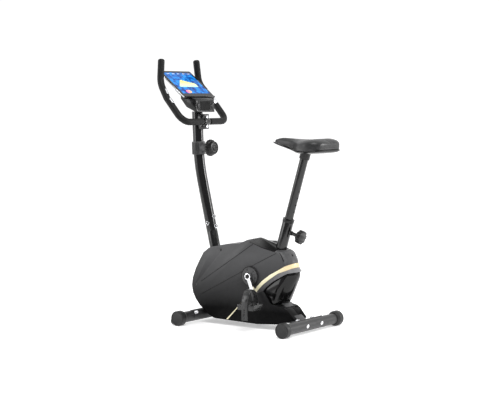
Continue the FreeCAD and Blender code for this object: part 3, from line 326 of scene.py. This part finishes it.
def grey_materials(m):
    # Grey that darkens to near black towards the bottom, and loses its gloss there too: painted
    # shade on the housing's lower sides.
    m["housing"] = graded("grey_plastic_painted_shade_low", "Z", 0.08, 0.34, grey(0.003), grey(0.064), 0.42,
                          spec=0.25, low_spec=0.02)
    m["panel"] = surface("grey_panel_plastic", grey(0.060), grey(0.075), 0.36, grain=1500,
                         spec=0.35)
    # The lip band is housing grey at the front and turns light grey towards the rear: a painted
    # reflection on its rear facet.
    m["lip"] = graded("grey_lip_painted_reflection", "Y", 0.12, 0.25, grey(0.045), grey(0.16), 0.32,
                      spec=0.5)
    m["silver"] = surface("silver_edge", (0.72, 0.73, 0.75), (0.80, 0.81, 0.83), 0.30,
                          grain=400, grain_deep=0.05, metal=0.5)
    m["leg"] = surface("rear_leg_cover", grey(0.045), grey(0.055), 0.40, grain=1500)
    m["sleeve"] = surface("sleeve_plastic", grey(0.05), grey(0.06), 0.42, grain=900)
    m["disc"] = surface("crank_disc_plastic", grey(0.030), grey(0.040), 0.40, grain=900)


def metal_materials(m):
    m["chrome"] = surface("polished_chrome", (0.80, 0.81, 0.83), (0.86, 0.87, 0.89), 0.12,
                          grain=200, grain_deep=0.02, metal=1.0, rough_spread=0.03)
    m["bolt"] = surface("bright_bolt", (0.86, 0.87, 0.89), (0.90, 0.91, 0.93), 0.34, grain=300,
                        grain_deep=0.02, metal=1.0)
    m["steel"] = surface("turned_steel", (0.42, 0.42, 0.44), (0.50, 0.50, 0.52), 0.30, metal=1.0,
                         grain=500, stretch=(1, 8, 8))
    m["dark_steel"] = surface("black_screw", (0.05, 0.05, 0.05), (0.08, 0.08, 0.08), 0.35,
                              metal=0.8, grain=500)
    m["iron"] = surface("flywheel_iron", (0.16, 0.16, 0.17), (0.22, 0.22, 0.23), 0.4, metal=1.0,
                        grain=400)
    # Pale cream at the front turning deeper gold towards the rear: the trim's own two tones, and
    # on the strip's front also a painted highlight.
    m["gold"] = graded("two_tone_gold_and_painted_highlight", "Y", 0.19, 0.27, (0.86, 0.80, 0.55), (0.80, 0.60, 0.33),
                       0.30, spec=0.5)


def screen_materials(m):
    mat = surface("screen_blue", (0.001, 0.010, 0.17), (0.010, 0.24, 0.70), 0.25, scale=46,
                  grain=300, grain_deep=0.01, spec=0.10)
    shader = mat.node_tree.nodes["Principled BSDF"]
    source = shader.inputs["Base Color"].links[0].from_socket
    mat.node_tree.links.new(source, shader.inputs["Emission Color"])
    shader.inputs["Emission Strength"].default_value = 0.25
    m["screen"] = mat
    m["chart"] = graded("screen_chart", "Z", 1.08, 1.125, (0.10, 0.55, 0.75), (0.85, 0.78, 0.16),
                        0.2, glow=0.35)
    m["dial"] = graded("screen_dial", "X", 0.02, 0.06, (0.85, 0.70, 0.10), (0.85, 0.10, 0.35),
                       0.2, glow=0.35)
    m["mark"] = surface("screen_mark", (0.75, 0.82, 0.90), (0.85, 0.90, 0.95), 0.3)
    m["lcd"] = surface("console_window", grey(0.003), grey(0.005), 0.30, grain=300,
                       grain_deep=0.02, spec=0.10)


def make_materials():
    m = {}
    black_materials(m)
    grey_materials(m)
    metal_materials(m)
    screen_materials(m)
    return m


MATERIALS = make_materials()
FINISH = {
    "paint": ("front_frame_tube", "lower_beam", "seat_tube", "bottom_bracket_shell",
              "flywheel_bracket", "handlebar_post", "clamp_bracket", "clamp_cap", "handlebar",
              "seat_post"),
    "leg": ("rear_leg",),
    "foot_paint": ("front_stabiliser", "rear_stabiliser", "front_saddle", "rear_saddle"),
    "plastic": ("transport_wheel_left", "transport_wheel_right", "tension_knob",
                "console_body", "seat_base", "seat_collar", "pop_pin_knob"),
    "cap": ("front_end_caps", "rear_end_caps"),
    "chrome": ("transport_pins", "crank_arm_left", "crank_arm_right", "pulse_sensors"),
    "bolt": ("stabiliser_bolts", "stabiliser_nuts", "post_bolts", "clamp_bolts"),
    "housing": ("housing_left", "housing_right"),
    "disc": ("crank_discs",),
    "panel": ("rear_panel",),
    "gloss": ("tail_cover", "tablet"),
    "roof": ("top_cover",),
    "lcd": ("console_lens",),
    "gold": ("accent_strip",),
    "steel": ("crank_spindle", "pedal_spindles", "flywheel_axle", "magnet_arm", "idler_arm"),
    "dark_steel": ("housing_screws",),
    "iron": ("flywheel",),
    "rubber": ("drive_belt", "pedal_strap_left", "pedal_strap_right", "console_button_left",
               "console_button_right"),
    "foam": ("foam_grips",),
    "leather": ("seat_cushion",),
    "pedal": ("pedal_left", "pedal_right", "drive_pulley", "idler_roller"),
    "sleeve": ("post_sleeve",),
}
ROUNDING = {                 # width of the rounded edges, metres
    "housing_left": 0.0010, "housing_right": 0.0010, "tail_cover": 0.0020, "top_cover": 0.0010,
    "rear_panel": 0.0011, "accent_strip": 0.0005, "rear_leg": 0.0020, "lower_beam": 0.0020,
    "front_end_caps": 0.0018, "rear_end_caps": 0.0018, "front_saddle": 0.0010,
    "rear_saddle": 0.0010, "crank_discs": 0.0010, "crank_arm_left": 0.0030,
    "crank_arm_right": 0.0030, "pedal_left": 0.0016, "pedal_right": 0.0016,
    "pedal_strap_left": 0.0008, "pedal_strap_right": 0.0008, "seat_tube": 0.0006,
    "front_frame_tube": 0.0006, "handlebar_post": 0.0006, "post_sleeve": 0.0015,
    "clamp_bracket": 0.0015, "clamp_cap": 0.0010, "clamp_bolts": 0.0010, "post_bolts": 0.0008,
    "stabiliser_bolts": 0.0008, "stabiliser_nuts": 0.0006, "console_body": 0.0014,
    "seat_collar": 0.0012, "pop_pin_knob": 0.0022, "tablet": 0.0012, "seat_base": 0.0010,
    "transport_wheel_left": 0.0010, "transport_wheel_right": 0.0010, "pulse_sensors": 0.0006,
    "console_button_left": 0.0014, "console_button_right": 0.0014, "pedal_spindles": 0.0008,
}


def paint_nodes():
    for finish, names in FINISH.items():
        for name in names:
            data = nodes[name].data
            data.materials.clear()
            data.materials.append(MATERIALS[finish])


# --- stage ------------------------------------------------------------------------------

def make_stage():
    yaw = math.radians(CAMERA_YAW)
    back = FLOOR_NEAR - FLOOR_SIZE / 2
    bpy.ops.mesh.primitive_plane_add(size=FLOOR_SIZE, rotation=(0, 0, yaw),
                                     location=(back * math.cos(yaw), back * math.sin(yaw), 0))
    floor = bpy.context.object
    floor.name = "floor"
    mat = surface("pale_floor", (0.86, 0.86, 0.86), (0.88, 0.88, 0.88), 0.7, scale=3, grain=40,
                  grain_deep=0.02, spec=0.2)
    shader = mat.node_tree.nodes["Principled BSDF"]
    shader.inputs["Emission Color"].default_value = (1, 1, 1, 1)
    shader.inputs["Emission Strength"].default_value = FLOOR_GLOW
    floor.data.materials.append(mat)
    make_world()
    for light in LIGHTS:
        area_light(*light)


def make_world():
    """White all round, and darker behind the camera so that black pieces keep dark faces."""
    world = bpy.data.worlds.new("studio")
    bpy.context.scene.world = world
    world.use_nodes = True
    tree = world.node_tree
    yaw = math.radians(CAMERA_YAW)
    coords = tree.nodes.new("ShaderNodeTexCoord")
    facing = tree.nodes.new("ShaderNodeVectorMath")
    facing.operation = "DOT_PRODUCT"
    facing.inputs[1].default_value = (math.cos(yaw), math.sin(yaw), 0.0)
    tree.links.new(coords.outputs["Generated"], facing.inputs[0])
    shade = ramp(tree, facing.outputs["Value"], (1, 1, 1), grey(WORLD_BACK), 0.0, WORLD_TURN)
    background = tree.nodes["Background"]
    tree.links.new(shade, background.inputs["Color"])
    background.inputs["Strength"].default_value = WORLD_WHITE


def area_light(name, at, aim, size, power):
    data = bpy.data.lights.new(name, "AREA")
    data.shape = "SQUARE"
    data.size = size
    data.energy = power
    lamp = bpy.data.objects.new(name, data)
    bpy.context.scene.collection.objects.link(lamp)
    lamp.location = at
    lamp.rotation_euler = (Vector(aim) - Vector(at)).to_track_quat("-Z", "Y").to_euler()


def make_camera():
    data = bpy.data.cameras.new("camera")
    data.lens = CAMERA_LENS
    data.sensor_width = 36.0
    camera = bpy.data.objects.new("camera", data)
    bpy.context.scene.collection.objects.link(camera)
    yaw, down = math.radians(CAMERA_YAW), math.radians(CAMERA_DOWN)
    heading = Vector((-math.cos(yaw) * math.cos(down), -math.sin(yaw) * math.cos(down),
                      -math.sin(down)))
    camera.location = CAMERA_AT
    camera.rotation_euler = heading.to_track_quat("-Z", "Y").to_euler()
    bpy.context.scene.camera = camera


# --- shared mesh tools ------------------------------------------------------------------

def body_of(node):
    return nodes[node]["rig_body"]


def mesh_object(name, verts, faces):
    mesh = bpy.data.meshes.new(name)
    mesh.from_pydata([tuple(v) for v in verts], [], faces)
    mesh.update()
    obj = bpy.data.objects.new(name, mesh)
    bpy.context.scene.collection.objects.link(obj)
    work = bmesh.new()
    work.from_mesh(mesh)
    bmesh.ops.recalc_face_normals(work, faces=work.faces)
    work.to_mesh(mesh)
    work.free()
    return obj


def finished(obj, material, body):
    """Gives a piece its material and lets it ride on its body."""
    obj.data.materials.clear()
    obj.data.materials.append(MATERIALS[material])
    shade_smooth(obj)
    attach(obj, body)
    return obj


def bevel(obj, width, segments=3, angle=SOFT_ANGLE):
    modifier = obj.modifiers.new("round", "BEVEL")
    modifier.width = width
    modifier.segments = segments
    modifier.limit_method = "ANGLE"
    modifier.angle_limit = math.radians(angle)
    modifier.harden_normals = True
    apply_modifiers(obj)


def soften(node, width):
    """A copy of a CAD node with its flat faces joined up and its sharp edges rounded."""
    mesh = nodes[node].data.copy()
    if node.startswith("housing"):
        mark_lip(mesh)
    obj = bpy.data.objects.new(node + "_rounded", mesh)
    bpy.context.scene.collection.objects.link(obj)
    work = bmesh.new()
    work.from_mesh(mesh)
    bmesh.ops.remove_doubles(work, verts=work.verts, dist=WELD)
    bmesh.ops.dissolve_limit(work, angle_limit=math.radians(FLAT_ANGLE), verts=work.verts,
                             edges=work.edges, delimit={"MATERIAL"})
    work.to_mesh(mesh)
    work.free()
    bevel(obj, width)
    shade_smooth(obj)
    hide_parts(node)
    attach(obj, body_of(node))
    return obj


def apply_modifiers(obj):
    bpy.context.view_layer.update()
    graph = bpy.context.evaluated_depsgraph_get()
    mesh = bpy.data.meshes.new_from_object(obj.evaluated_get(graph))
    obj.modifiers.clear()
    obj.data = mesh


def shade_smooth(obj, angle=SMOOTH_ANGLE):
    for polygon in obj.data.polygons:
        polygon.use_smooth = True
    obj.data.set_sharp_from_angle(angle=math.radians(angle))


def middle(node):
    low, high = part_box(node)
    return (Vector(low) + Vector(high)) / 2


def frame_along(axis):
    """Two unit vectors square to an axis."""
    axis = Vector(axis).normalized()
    side = axis.cross(Vector((0, 0, 1)))
    if side.length < 0.1:
        side = axis.cross(Vector((0, 1, 0)))
    side.normalize()
    return side, axis.cross(side)


def lathe(name, start, axis, profile, segments=64, lobes=0, lobe_deep=0.0):
    """Turned piece: profile is (radius, distance along the axis) from one pole to the other.

    With lobes, the outer part of the radius is scalloped that many times round.
    """
    start, axis = Vector(start), Vector(axis).normalized()
    side, up = frame_along(axis)
    widest = max(r for r, _ in profile)
    verts, faces = [], []
    for r, h in profile:
        for n in range(segments):
            a = 2 * math.pi * n / segments
            cut = lobe_deep * (r / widest) ** 6 * (0.5 - 0.5 * math.cos(lobes * a)) ** 3
            reach = r - cut
            verts.append(start + axis * h + side * reach * math.cos(a) + up * reach * math.sin(a))
    rows = len(profile)
    for row in range(rows - 1):
        for n in range(segments):
            m = (n + 1) % segments
            faces.append((row * segments + n, row * segments + m,
                          (row + 1) * segments + m, (row + 1) * segments + n))
    faces.append(tuple(range(segments)))
    faces.append(tuple((rows - 1) * segments + n for n in range(segments)))
    return mesh_object(name, verts, faces)


def ring(name, start, axis, radius, thick, segments=96, sides=12):
    """A plain torus round an axis."""
    start, axis = Vector(start), Vector(axis).normalized()
    side, up = frame_along(axis)
    verts, faces = [], []
    for n in range(segments):
        a = 2 * math.pi * n / segments
        out = side * math.cos(a) + up * math.sin(a)
        for k in range(sides):
            b = 2 * math.pi * k / sides
            verts.append(start + out * (radius + thick * math.cos(b)) + axis * thick * math.sin(b))
    for n in range(segments):
        for k in range(sides):
            m, j = (n + 1) % segments, (k + 1) % sides
            faces.append((n * sides + k, m * sides + k, m * sides + j, n * sides + j))
    return mesh_object(name, verts, faces)


def bead(name, points, radius, closed=False, sides=8):
    """A round cord of material that follows a line of points on a surface."""
    count = len(points)
    verts, faces = [], []
    for n, point in enumerate(points):
        before = points[(n - 1) % count] if closed or n else point
        after = points[(n + 1) % count] if closed or n < count - 1 else point
        side, up = frame_along(after - before)
        for k in range(sides):
            b = 2 * math.pi * k / sides
            verts.append(point + side * radius * math.cos(b) + up * radius * math.sin(b))
    last = count if closed else count - 1
    for n in range(last):
        for k in range(sides):
            m, j = (n + 1) % count, (k + 1) % sides
            faces.append((n * sides + k, m * sides + k, m * sides + j, n * sides + j))
    if not closed:
        faces.append(tuple(range(sides)))
        faces.append(tuple((count - 1) * sides + k for k in range(sides)))
    return mesh_object(name, verts, faces)


def tree_of(node):
    data = nodes[node].data
    return BVHTree.FromPolygons([v.co for v in data.vertices],
                                [tuple(p.vertices) for p in data.polygons])


def on_side(surface_tree, side, y, z):
    """The point of the housing's side seen from straight beside it."""
    hit = surface_tree.ray_cast(Vector((side * OUTSIDE, y, z)), Vector((-side, 0, 0)))
    return hit[0]


def side_line(surface_tree, side, ends, steps=60):
    points = []
    (y0, z0), (y1, z1) = ends
    for n in range(steps + 1):
        share = n / steps
        hit = on_side(surface_tree, side, y0 + (y1 - y0) * share, z0 + (z1 - z0) * share)
        if hit is not None and abs(hit.x) > SIDE_MIN_X:
            points.append(hit)
    return points


# --- housing ----------------------------------------------------------------------------

def make_housing_trim():
    for side, node, word in ((1, "housing_left", "left"), (-1, "housing_right", "right")):
        tree = tree_of(node)
        for ends, which in ((LOW_CREASE, "low"), (HIGH_CREASE, "high")):
            points = side_line(tree, side, ends)
            # near-black cords along both creases: painted shade where the housing's facets meet
            finished(bead("crease_shade_" + which + "_" + word, points, CREASE_R), "line", "frame")
        make_stripe(tree, side, word)


def make_stripe(tree, side, word):
    """Slim cream stripe low on the side, wider at its foot."""
    (y0, z0), (y1, z1) = STRIPE
    along = Vector((0, y1 - y0, z1 - z0)).normalized()
    across = Vector((0, -along.z, along.y))
    out = Vector((side * STRIPE_THICK / 2, 0, 0))
    verts, faces = [], []
    for n in range(STRIPE_STEPS + 1):
        share = n / STRIPE_STEPS
        half = STRIPE_HALF * (1.0 - STRIPE_TAPER * share)
        for edge in (-half, half):
            y = y0 + (y1 - y0) * share + across.y * edge
            z = z0 + (z1 - z0) * share + across.z * edge
            hit = on_side(tree, side, y, max(z, STRIPE_FOOT))
            verts.append(hit + out)
            verts.append(hit - out)
    for n in range(STRIPE_STEPS):
        a = n * 4
        faces += [(a, a + 2, a + 6, a + 4), (a + 1, a + 5, a + 7, a + 3),
                  (a, a + 4, a + 5, a + 1), (a + 2, a + 3, a + 7, a + 6)]
    end = STRIPE_STEPS * 4
    faces += [(0, 1, 3, 2), (end, end + 2, end + 3, end + 1)]
    finished(mesh_object("cream_stripe_" + word, verts, faces), "gold", "frame")


def height_on(line, y):
    """Height of a line, given as (distance back, height) pairs, at a distance back."""
    for (y0, z0), (y1, z1) in zip(line, line[1:]):
        if y0 <= y <= y1:
            return z0 + (z1 - z0) * (y - y0) / (y1 - y0)
    return None


def mark_lip(mesh):
    """Marks the faces of the band between the gold strip and the tail cover."""
    # the band takes the lip finish, whose lighter rear is painted reflection
    mesh.materials.append(MATERIALS["lip"])
    for polygon in mesh.polygons:
        y, z = polygon.center.y, polygon.center.z
        top = height_on(LIP_TOP, y)
        if top is None:
            continue
        low = height_on(LIP_LOW, y) if y > LIP_LOW[0][0] else height_on(LIP_FRONT, y)
        if low is not None and low < z < top:
            polygon.material_index = 1


def soften_all():
    for node, width in ROUNDING.items():
        soften(node, width)


def make_panel_gap():
    """Dark joint down both sides of the rear panel."""
    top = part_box("rear_panel")[1][2] - PANEL_TOP_GAP
    for side, node, word in ((1, "housing_left", "left"), (-1, "housing_right", "right")):
        tree = tree_of(node)
        points = []
        for n in range(PANEL_STEPS + 1):
            z = PANEL_LOW + (top - PANEL_LOW) * n / PANEL_STEPS
            start = Vector((side * PANEL_HALF, BEHIND, z))
            hit = tree.ray_cast(start, Vector((0, -1, 0)))[0]
            if hit is not None and hit.y > PANEL_FRONT:
                points.append(hit)
        finished(bead("panel_gap_" + word, points, PANEL_GAP_R), "line", "frame")


# --- crank, pedals and bolts ------------------------------------------------------------

def make_crank_trim():
    low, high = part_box("crank_discs")
    centre = middle("crank_discs")
    radius = (high[2] - low[2]) / 2
    for side, x, word in ((1, high[0], "left"), (-1, low[0], "right")):
        at = Vector((x - side * DISC_RIM_IN, centre.y, centre.z))
        rim = ring("crank_disc_rim_" + word, at, (1, 0, 0), radius - DISC_RIM_EDGE, DISC_RIM_R)
        finished(rim, "line", "crank")
        boss = ring("crank_boss_rim_" + word, at, (1, 0, 0), BOSS_RIM_RADIUS, BOSS_RIM_R)
        finished(boss, "line", "crank")
    for node, sign in (("crank_arm_left", 1), ("crank_arm_right", -1)):
        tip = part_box("crank_spindle")[1][0] + CAP_PROUD
        start = Vector((sign * tip, centre.y, centre.z))
        cap = lathe(node + "_cap", start, (sign, 0, 0),
                    ((0.0100, -0.002), (0.0100, 0.0010), (0.0085, 0.0018), (0.0030, 0.0020)))
        finished(cap, "plastic", "crank")


def bars(name, boxes):
    """Several bars in one mesh, with rounded edges."""
    verts, faces = [], []
    for low, high in boxes:
        base = len(verts)
        for z in (low[2], high[2]):
            verts += [(low[0], low[1], z), (high[0], low[1], z), (high[0], high[1], z),
                      (low[0], high[1], z)]
        faces += [(base + 3, base + 2, base + 1, base), (base + 4, base + 5, base + 6, base + 7)]
        for n in range(4):
            m = (n + 1) % 4
            faces.append((base + n, base + m, base + 4 + m, base + 4 + n))
    obj = mesh_object(name, verts, faces)
    bevel(obj, 0.0004, 2)
    return obj


def make_pedal_treads():
    """Grip ridges along the front and rear bars of both pedals, above and below."""
    for node in ("pedal_left", "pedal_right"):
        low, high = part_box(node)
        ridges = []
        rows = [low[1] + row for row in TREAD_ROWS]
        rows += [high[1] - row for row in reversed(TREAD_ROWS)]
        above = (high[2] - TREAD_SINK, high[2] + TREAD_TALL)
        below = (low[2] - TREAD_TALL, low[2] + TREAD_SINK)
        for z0, z1 in (above, below):
            for y in rows:
                ridges.append(((low[0] + TREAD_END, y - TREAD_HALF, z0),
                               (high[0] - TREAD_END, y + TREAD_HALF, z1)))
        finished(bars(node + "_treads", ridges), "pedal", node)


def islands(node):
    """The separate solids of a node, each as its list of points."""
    mesh = nodes[node].data
    parent = list(range(len(mesh.vertices)))

    def root(n):
        while parent[n] != n:
            parent[n] = parent[parent[n]]
            n = parent[n]
        return n

    for edge in mesh.edges:
        a, b = root(edge.vertices[0]), root(edge.vertices[1])
        parent[a] = b
    places = {}
    for n in range(len(parent)):
        places.setdefault(root(n), []).append(mesh.vertices[n].co.copy())
    return [places[key] for key in sorted(places)]


def make_bolt_caps():
    """Dark heads on the bright washers of the post's bolts."""
    lean = math.radians(POST_LEAN)
    for n, points in enumerate(islands("post_bolts")):
        centre = sum(points, Vector()) / len(points)
        out = Vector((0, math.cos(lean), math.sin(lean)))
        if centre.x > SIDE_BOLT_X:
            out = Vector((1, 0, 0))
        reach = max((p - centre).dot(out) for p in points)
        start = centre + out * (reach - BOLT_CAP_SINK)
        cap = lathe("post_bolt_cap_%d" % n, start, out,
                    ((0.0069, 0.0), (0.0069, 0.0034), (0.0060, 0.0044), (0.0032, 0.0046),
                     (0.0028, 0.0030)), 36)
        finished(cap, "plastic", "frame")


# --- knobs ------------------------------------------------------------------------------

def make_tension_knob():
    low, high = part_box("tension_knob")
    centre = middle("tension_knob")
    radius = (high[2] - low[2]) / 2
    deep = high[1] - low[1]
    start = Vector((centre.x, low[1], centre.z))
    profile = ((radius * 0.72, 0.0), (radius * 0.95, 0.001), (radius, 0.004),
               (radius, deep * 0.40), (radius * 0.93, deep * 0.52), (radius * 0.80, deep * 0.56),
               (radius * 0.78, deep * 0.88), (radius * 0.74, deep * 0.95),
               (radius * 0.60, deep * 0.97), (radius * 0.58, deep * 0.90),
               (radius * 0.30, deep * 0.90), (radius * 0.27, deep * 0.985),
               (radius * 0.20, deep))
    knob = lathe("tension_knob_grip", start, (0, 1, 0), profile, 128, KNOB_LOBES,
                 KNOB_LOBE_DEEP)
    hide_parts("tension_knob")
    finished(knob, "plastic", "tension_knob")
    face = start + Vector((0, deep * 0.905, 0))
    mark = ring("tension_knob_ring", face, (0, 1, 0), radius * 0.45, KNOB_RING_R)
    finished(mark, "sleeve", "tension_knob")


def make_sleeve_ribs():
    """Fine upright ribs round the ring on the post, open at the back for the knob's neck."""
    low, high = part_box("post_sleeve")
    radius = high[0]
    lean = math.radians(SLEEVE_LEAN)
    axis = Vector((0, -math.sin(lean), math.cos(lean)))
    foot = Vector((0, low[1] + radius + SLEEVE_AXIS_BACK, low[2] + SLEEVE_END))
    tall = high[2] - low[2] - SLEEVE_RIMS
    root = radius - RIB_SINK
    crest = radius + RIB_DEEP * 0.3
    section = ((root, -RIB_HALF), (crest, -RIB_HALF * 0.6), (crest, RIB_HALF * 0.6),
               (root, RIB_HALF))
    verts, faces = [], []
    for n in range(RIB_COUNT):
        a = 2 * math.pi * n / RIB_COUNT
        out = Vector((math.cos(a), math.sin(a), 0))
        if out.y > KNOB_NECK_SIDE:
            continue
        side = axis.cross(out).normalized()
        base = len(verts)
        for h in (0.0, tall):
            for reach, wide in section:
                verts.append(foot + axis * h + out * reach + side * wide)
        faces += [(base, base + 1, base + 5, base + 4), (base + 1, base + 2, base + 6, base + 5),
                  (base + 2, base + 3, base + 7, base + 6), (base + 3, base, base + 4, base + 7),
                  (base, base + 3, base + 2, base + 1), (base + 4, base + 5, base + 6, base + 7)]
    finished(mesh_object("sleeve_ribs", verts, faces), "plastic", "frame")


# --- tablet -----------------------------------------------------------------------------

def tablet_point(x, up, out):
    """A point on the tablet: across, up its slope and out from its face."""
    a = math.radians(TABLET_RISE)
    slope = Vector((0, -math.cos(a), math.sin(a)))
    normal = Vector((0, math.sin(a), math.cos(a)))
    return middle("tablet") + Vector((x, 0, 0)) + slope * up + normal * out


def rounded_outline(half_x, half_up, radius, steps=8):
    points = []
    for corner, (sx, sy) in enumerate(((1, 1), (-1, 1), (-1, -1), (1, -1))):
        for n in range(steps + 1):
            a = math.pi / 2 * (corner + n / steps)
            points.append((sx * (half_x - radius) + radius * math.cos(a),
                           sy * (half_up - radius) + radius * math.sin(a)))
    return points


def plate(name, outline, low, high, material):
    """A thin flat plate on the tablet's face."""
    count = len(outline)
    verts = [tablet_point(x, up, low) for x, up in outline]
    verts += [tablet_point(x, up, high) for x, up in outline]
    faces = [tuple(range(count)), tuple(range(count, 2 * count))]
    for n in range(count):
        m = (n + 1) % count
        faces.append((n, m, count + m, count + n))
    return finished(mesh_object(name, verts, faces), material, "tablet")


def tablet_band():
    """The silver band round the tablet's edge."""
    outer = rounded_outline(TABLET_HALF_X + BAND_OUT, TABLET_HALF_LONG + BAND_OUT,
                            TABLET_CORNER_R)
    inner = rounded_outline(TABLET_HALF_X - BAND_IN, TABLET_HALF_LONG - BAND_IN,
                            TABLET_CORNER_R)
    count = len(outer)
    verts = []
    for outline in (outer, inner):
        for out in BAND_FACES:
            verts += [tablet_point(x, up, out) for x, up in outline]
    faces = []
    for n in range(count):
        m = (n + 1) % count
        rows = [row * count for row in (0, 1, 3, 2)]
        for k in range(4):
            a, b = rows[k], rows[(k + 1) % 4]
            faces.append((a + n, a + m, b + m, b + n))
    finished(mesh_object("tablet_band", verts, faces), "silver", "tablet")


def make_tablet():
    top = TABLET_HALF_T
    glass = rounded_outline(TABLET_HALF_X - GLASS_EDGE, TABLET_HALF_LONG - GLASS_EDGE,
                            TABLET_CORNER_R)
    plate("tablet_glass", glass, top - GLASS_SINK, top + GLASS_PROUD, "gloss")
    screen = rounded_outline(SCREEN_HALF_X, SCREEN_HALF_UP, SCREEN_R)
    screen = [(x, up + SCREEN_UP) for x, up in screen]
    plate("screen", screen, top, top + SCREEN_TALL, "screen")
    tablet_band()
    low, high = top + PRINT_LOW, top + PRINT_HIGH
    plate("screen_chart", chart_outline(), low, high, "chart")
    plate("screen_dial", dial_outline(), low, high, "dial")
    for n in range(MARK_COUNT):
        x = MARK_FIRST + n * MARK_STEP
        mark = rounded_outline(*MARK_HALF, MARK_R)
        mark = [(px + x, py + MARK_UP) for px, py in mark]
        plate("screen_mark_%d" % n, mark, low, high, "mark")


def dial_outline():
    points = []
    for n in range(DIAL_STEPS):
        a = 2 * math.pi * n / DIAL_STEPS
        points.append((DIAL_AT[0] + DIAL_HALF[0] * math.cos(a),
                       DIAL_AT[1] + DIAL_HALF[1] * math.sin(a)))
    return points


def chart_outline():
    """A generic exercise chart: a wide hill with small steps, highest left of its middle."""
    points = []
    for n in range(CHART_STEPS + 1):
        share = 1 - n / CHART_STEPS
        x = CHART_RIGHT + (CHART_LEFT - CHART_RIGHT) * share
        if share < CHART_PEAK:
            rise = CHART_LOW + (CHART_HIGH - CHART_LOW) * share / CHART_PEAK
        else:
            rise = CHART_HIGH * (1 - share) / (1 - CHART_PEAK)
        steps = CHART_RIPPLE * abs(math.sin(n * 1.9) * math.sin(n * 0.6))
        points.append((x, CHART_BASE + rise + steps))
    foot = CHART_BASE - CHART_FOOT
    return points + [(CHART_RIGHT, foot), (CHART_LEFT, foot)]


# --- seat and grips ---------------------------------------------------------------------

def remeshed(node, name, voxel):
    mesh = nodes[node].data.copy()
    obj = bpy.data.objects.new(name, mesh)
    bpy.context.scene.collection.objects.link(obj)
    modifier = obj.modifiers.new("voxels", "REMESH")
    modifier.mode = "VOXEL"
    modifier.voxel_size = voxel
    apply_modifiers(obj)
    return obj


def moved_out(obj, amount):
    work = bmesh.new()
    work.from_mesh(obj.data)
    work.normal_update()
    for vert in work.verts:
        vert.co += vert.normal * amount
    work.to_mesh(obj.data)
    work.free()


def smooth_modifier(obj, turns, factor=0.5):
    modifier = obj.modifiers.new("smooth", "SMOOTH")
    modifier.iterations = turns
    modifier.factor = factor
    apply_modifiers(obj)


def inflate(obj, pressure, cap):
    """Cloth under pressure; no point moves further than the cap, and the underside stays."""
    start = [v.co.copy() for v in obj.data.vertices]
    down = [v.normal.z < CLOTH_DOWN for v in obj.data.vertices]
    modifier = obj.modifiers.new("cloth", "CLOTH")
    modifier.settings.use_pressure = True
    modifier.settings.uniform_pressure_force = pressure
    modifier.settings.effector_weights.gravity = 0.0
    modifier.settings.quality = 5
    modifier.point_cache.frame_start = 1
    modifier.point_cache.frame_end = CLOTH_FRAMES
    scene = bpy.context.scene
    for step in range(1, CLOTH_FRAMES + 1):
        scene.frame_set(step)
    apply_modifiers(obj)
    scene.frame_set(1)
    for vert, at, flat in zip(obj.data.vertices, start, down):
        shift = vert.co - at
        if flat:
            vert.co = at
        elif shift.length > cap:
            vert.co = at + shift * (cap / shift.length)


def make_seat():
    seat = remeshed("seat_cushion", "seat_pad", SEAT_VOXEL)
    smooth_modifier(seat, 4)
    moved_out(seat, -SEAT_SHRINK)
    inflate(seat, SEAT_PRESSURE, SEAT_CAP)
    smooth_modifier(seat, 3)
    levels = seat.modifiers.new("fine", "SUBSURF")
    levels.levels = 1
    apply_modifiers(seat)
    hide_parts("seat_cushion")
    finished(seat, "leather", "seat")
    make_piping()


def make_piping():
    """The cord where the cover is drawn in round the moulded base."""
    outline = sharp_loop("seat_cushion", PIPING_ANGLE)
    finished(bead("seat_piping", outline, PIPING_R, closed=True), "line", "seat")


def sharp_loop(node, degrees):
    """The longest run of sharp edges on a CAD node, as a line of points."""
    work = bmesh.new()
    work.from_mesh(nodes[node].data)
    bmesh.ops.remove_doubles(work, verts=work.verts, dist=WELD)
    links = {}
    for edge in work.edges:
        if len(edge.link_faces) == 2 and edge.calc_face_angle(0.0) > math.radians(degrees):
            a, b = edge.verts[0].index, edge.verts[1].index
            links.setdefault(a, []).append(b)
            links.setdefault(b, []).append(a)
    places = {v.index: v.co.copy() for v in work.verts}
    work.free()
    best = []
    seen = set()
    for first in sorted(links):
        if first in seen:
            continue
        run, at = [], first
        while at is not None and at not in seen:
            seen.add(at)
            run.append(places[at])
            onward = [n for n in links[at] if n not in seen]
            at = onward[0] if onward else None
        best = max(best, run, key=len)
    return best


def make_grips():
    grips = remeshed("foam_grips", "grips", FOAM_VOXEL)
    smooth_modifier(grips, 3)
    for vert in grips.data.vertices:
        vert.co += vert.normal * noise.noise(vert.co * FOAM_PORES) * FOAM_PORE_DEEP
    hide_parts("foam_grips")
    finished(grips, "foam", "handlebar")


bpy.context.scene.view_settings.view_transform = "Standard"
paint_nodes()
make_stage()
make_camera()
soften_all()
make_housing_trim()
make_panel_gap()
make_crank_trim()
make_pedal_treads()
make_bolt_caps()
make_tension_knob()
make_sleeve_ribs()
make_tablet()
make_seat()
make_grips()
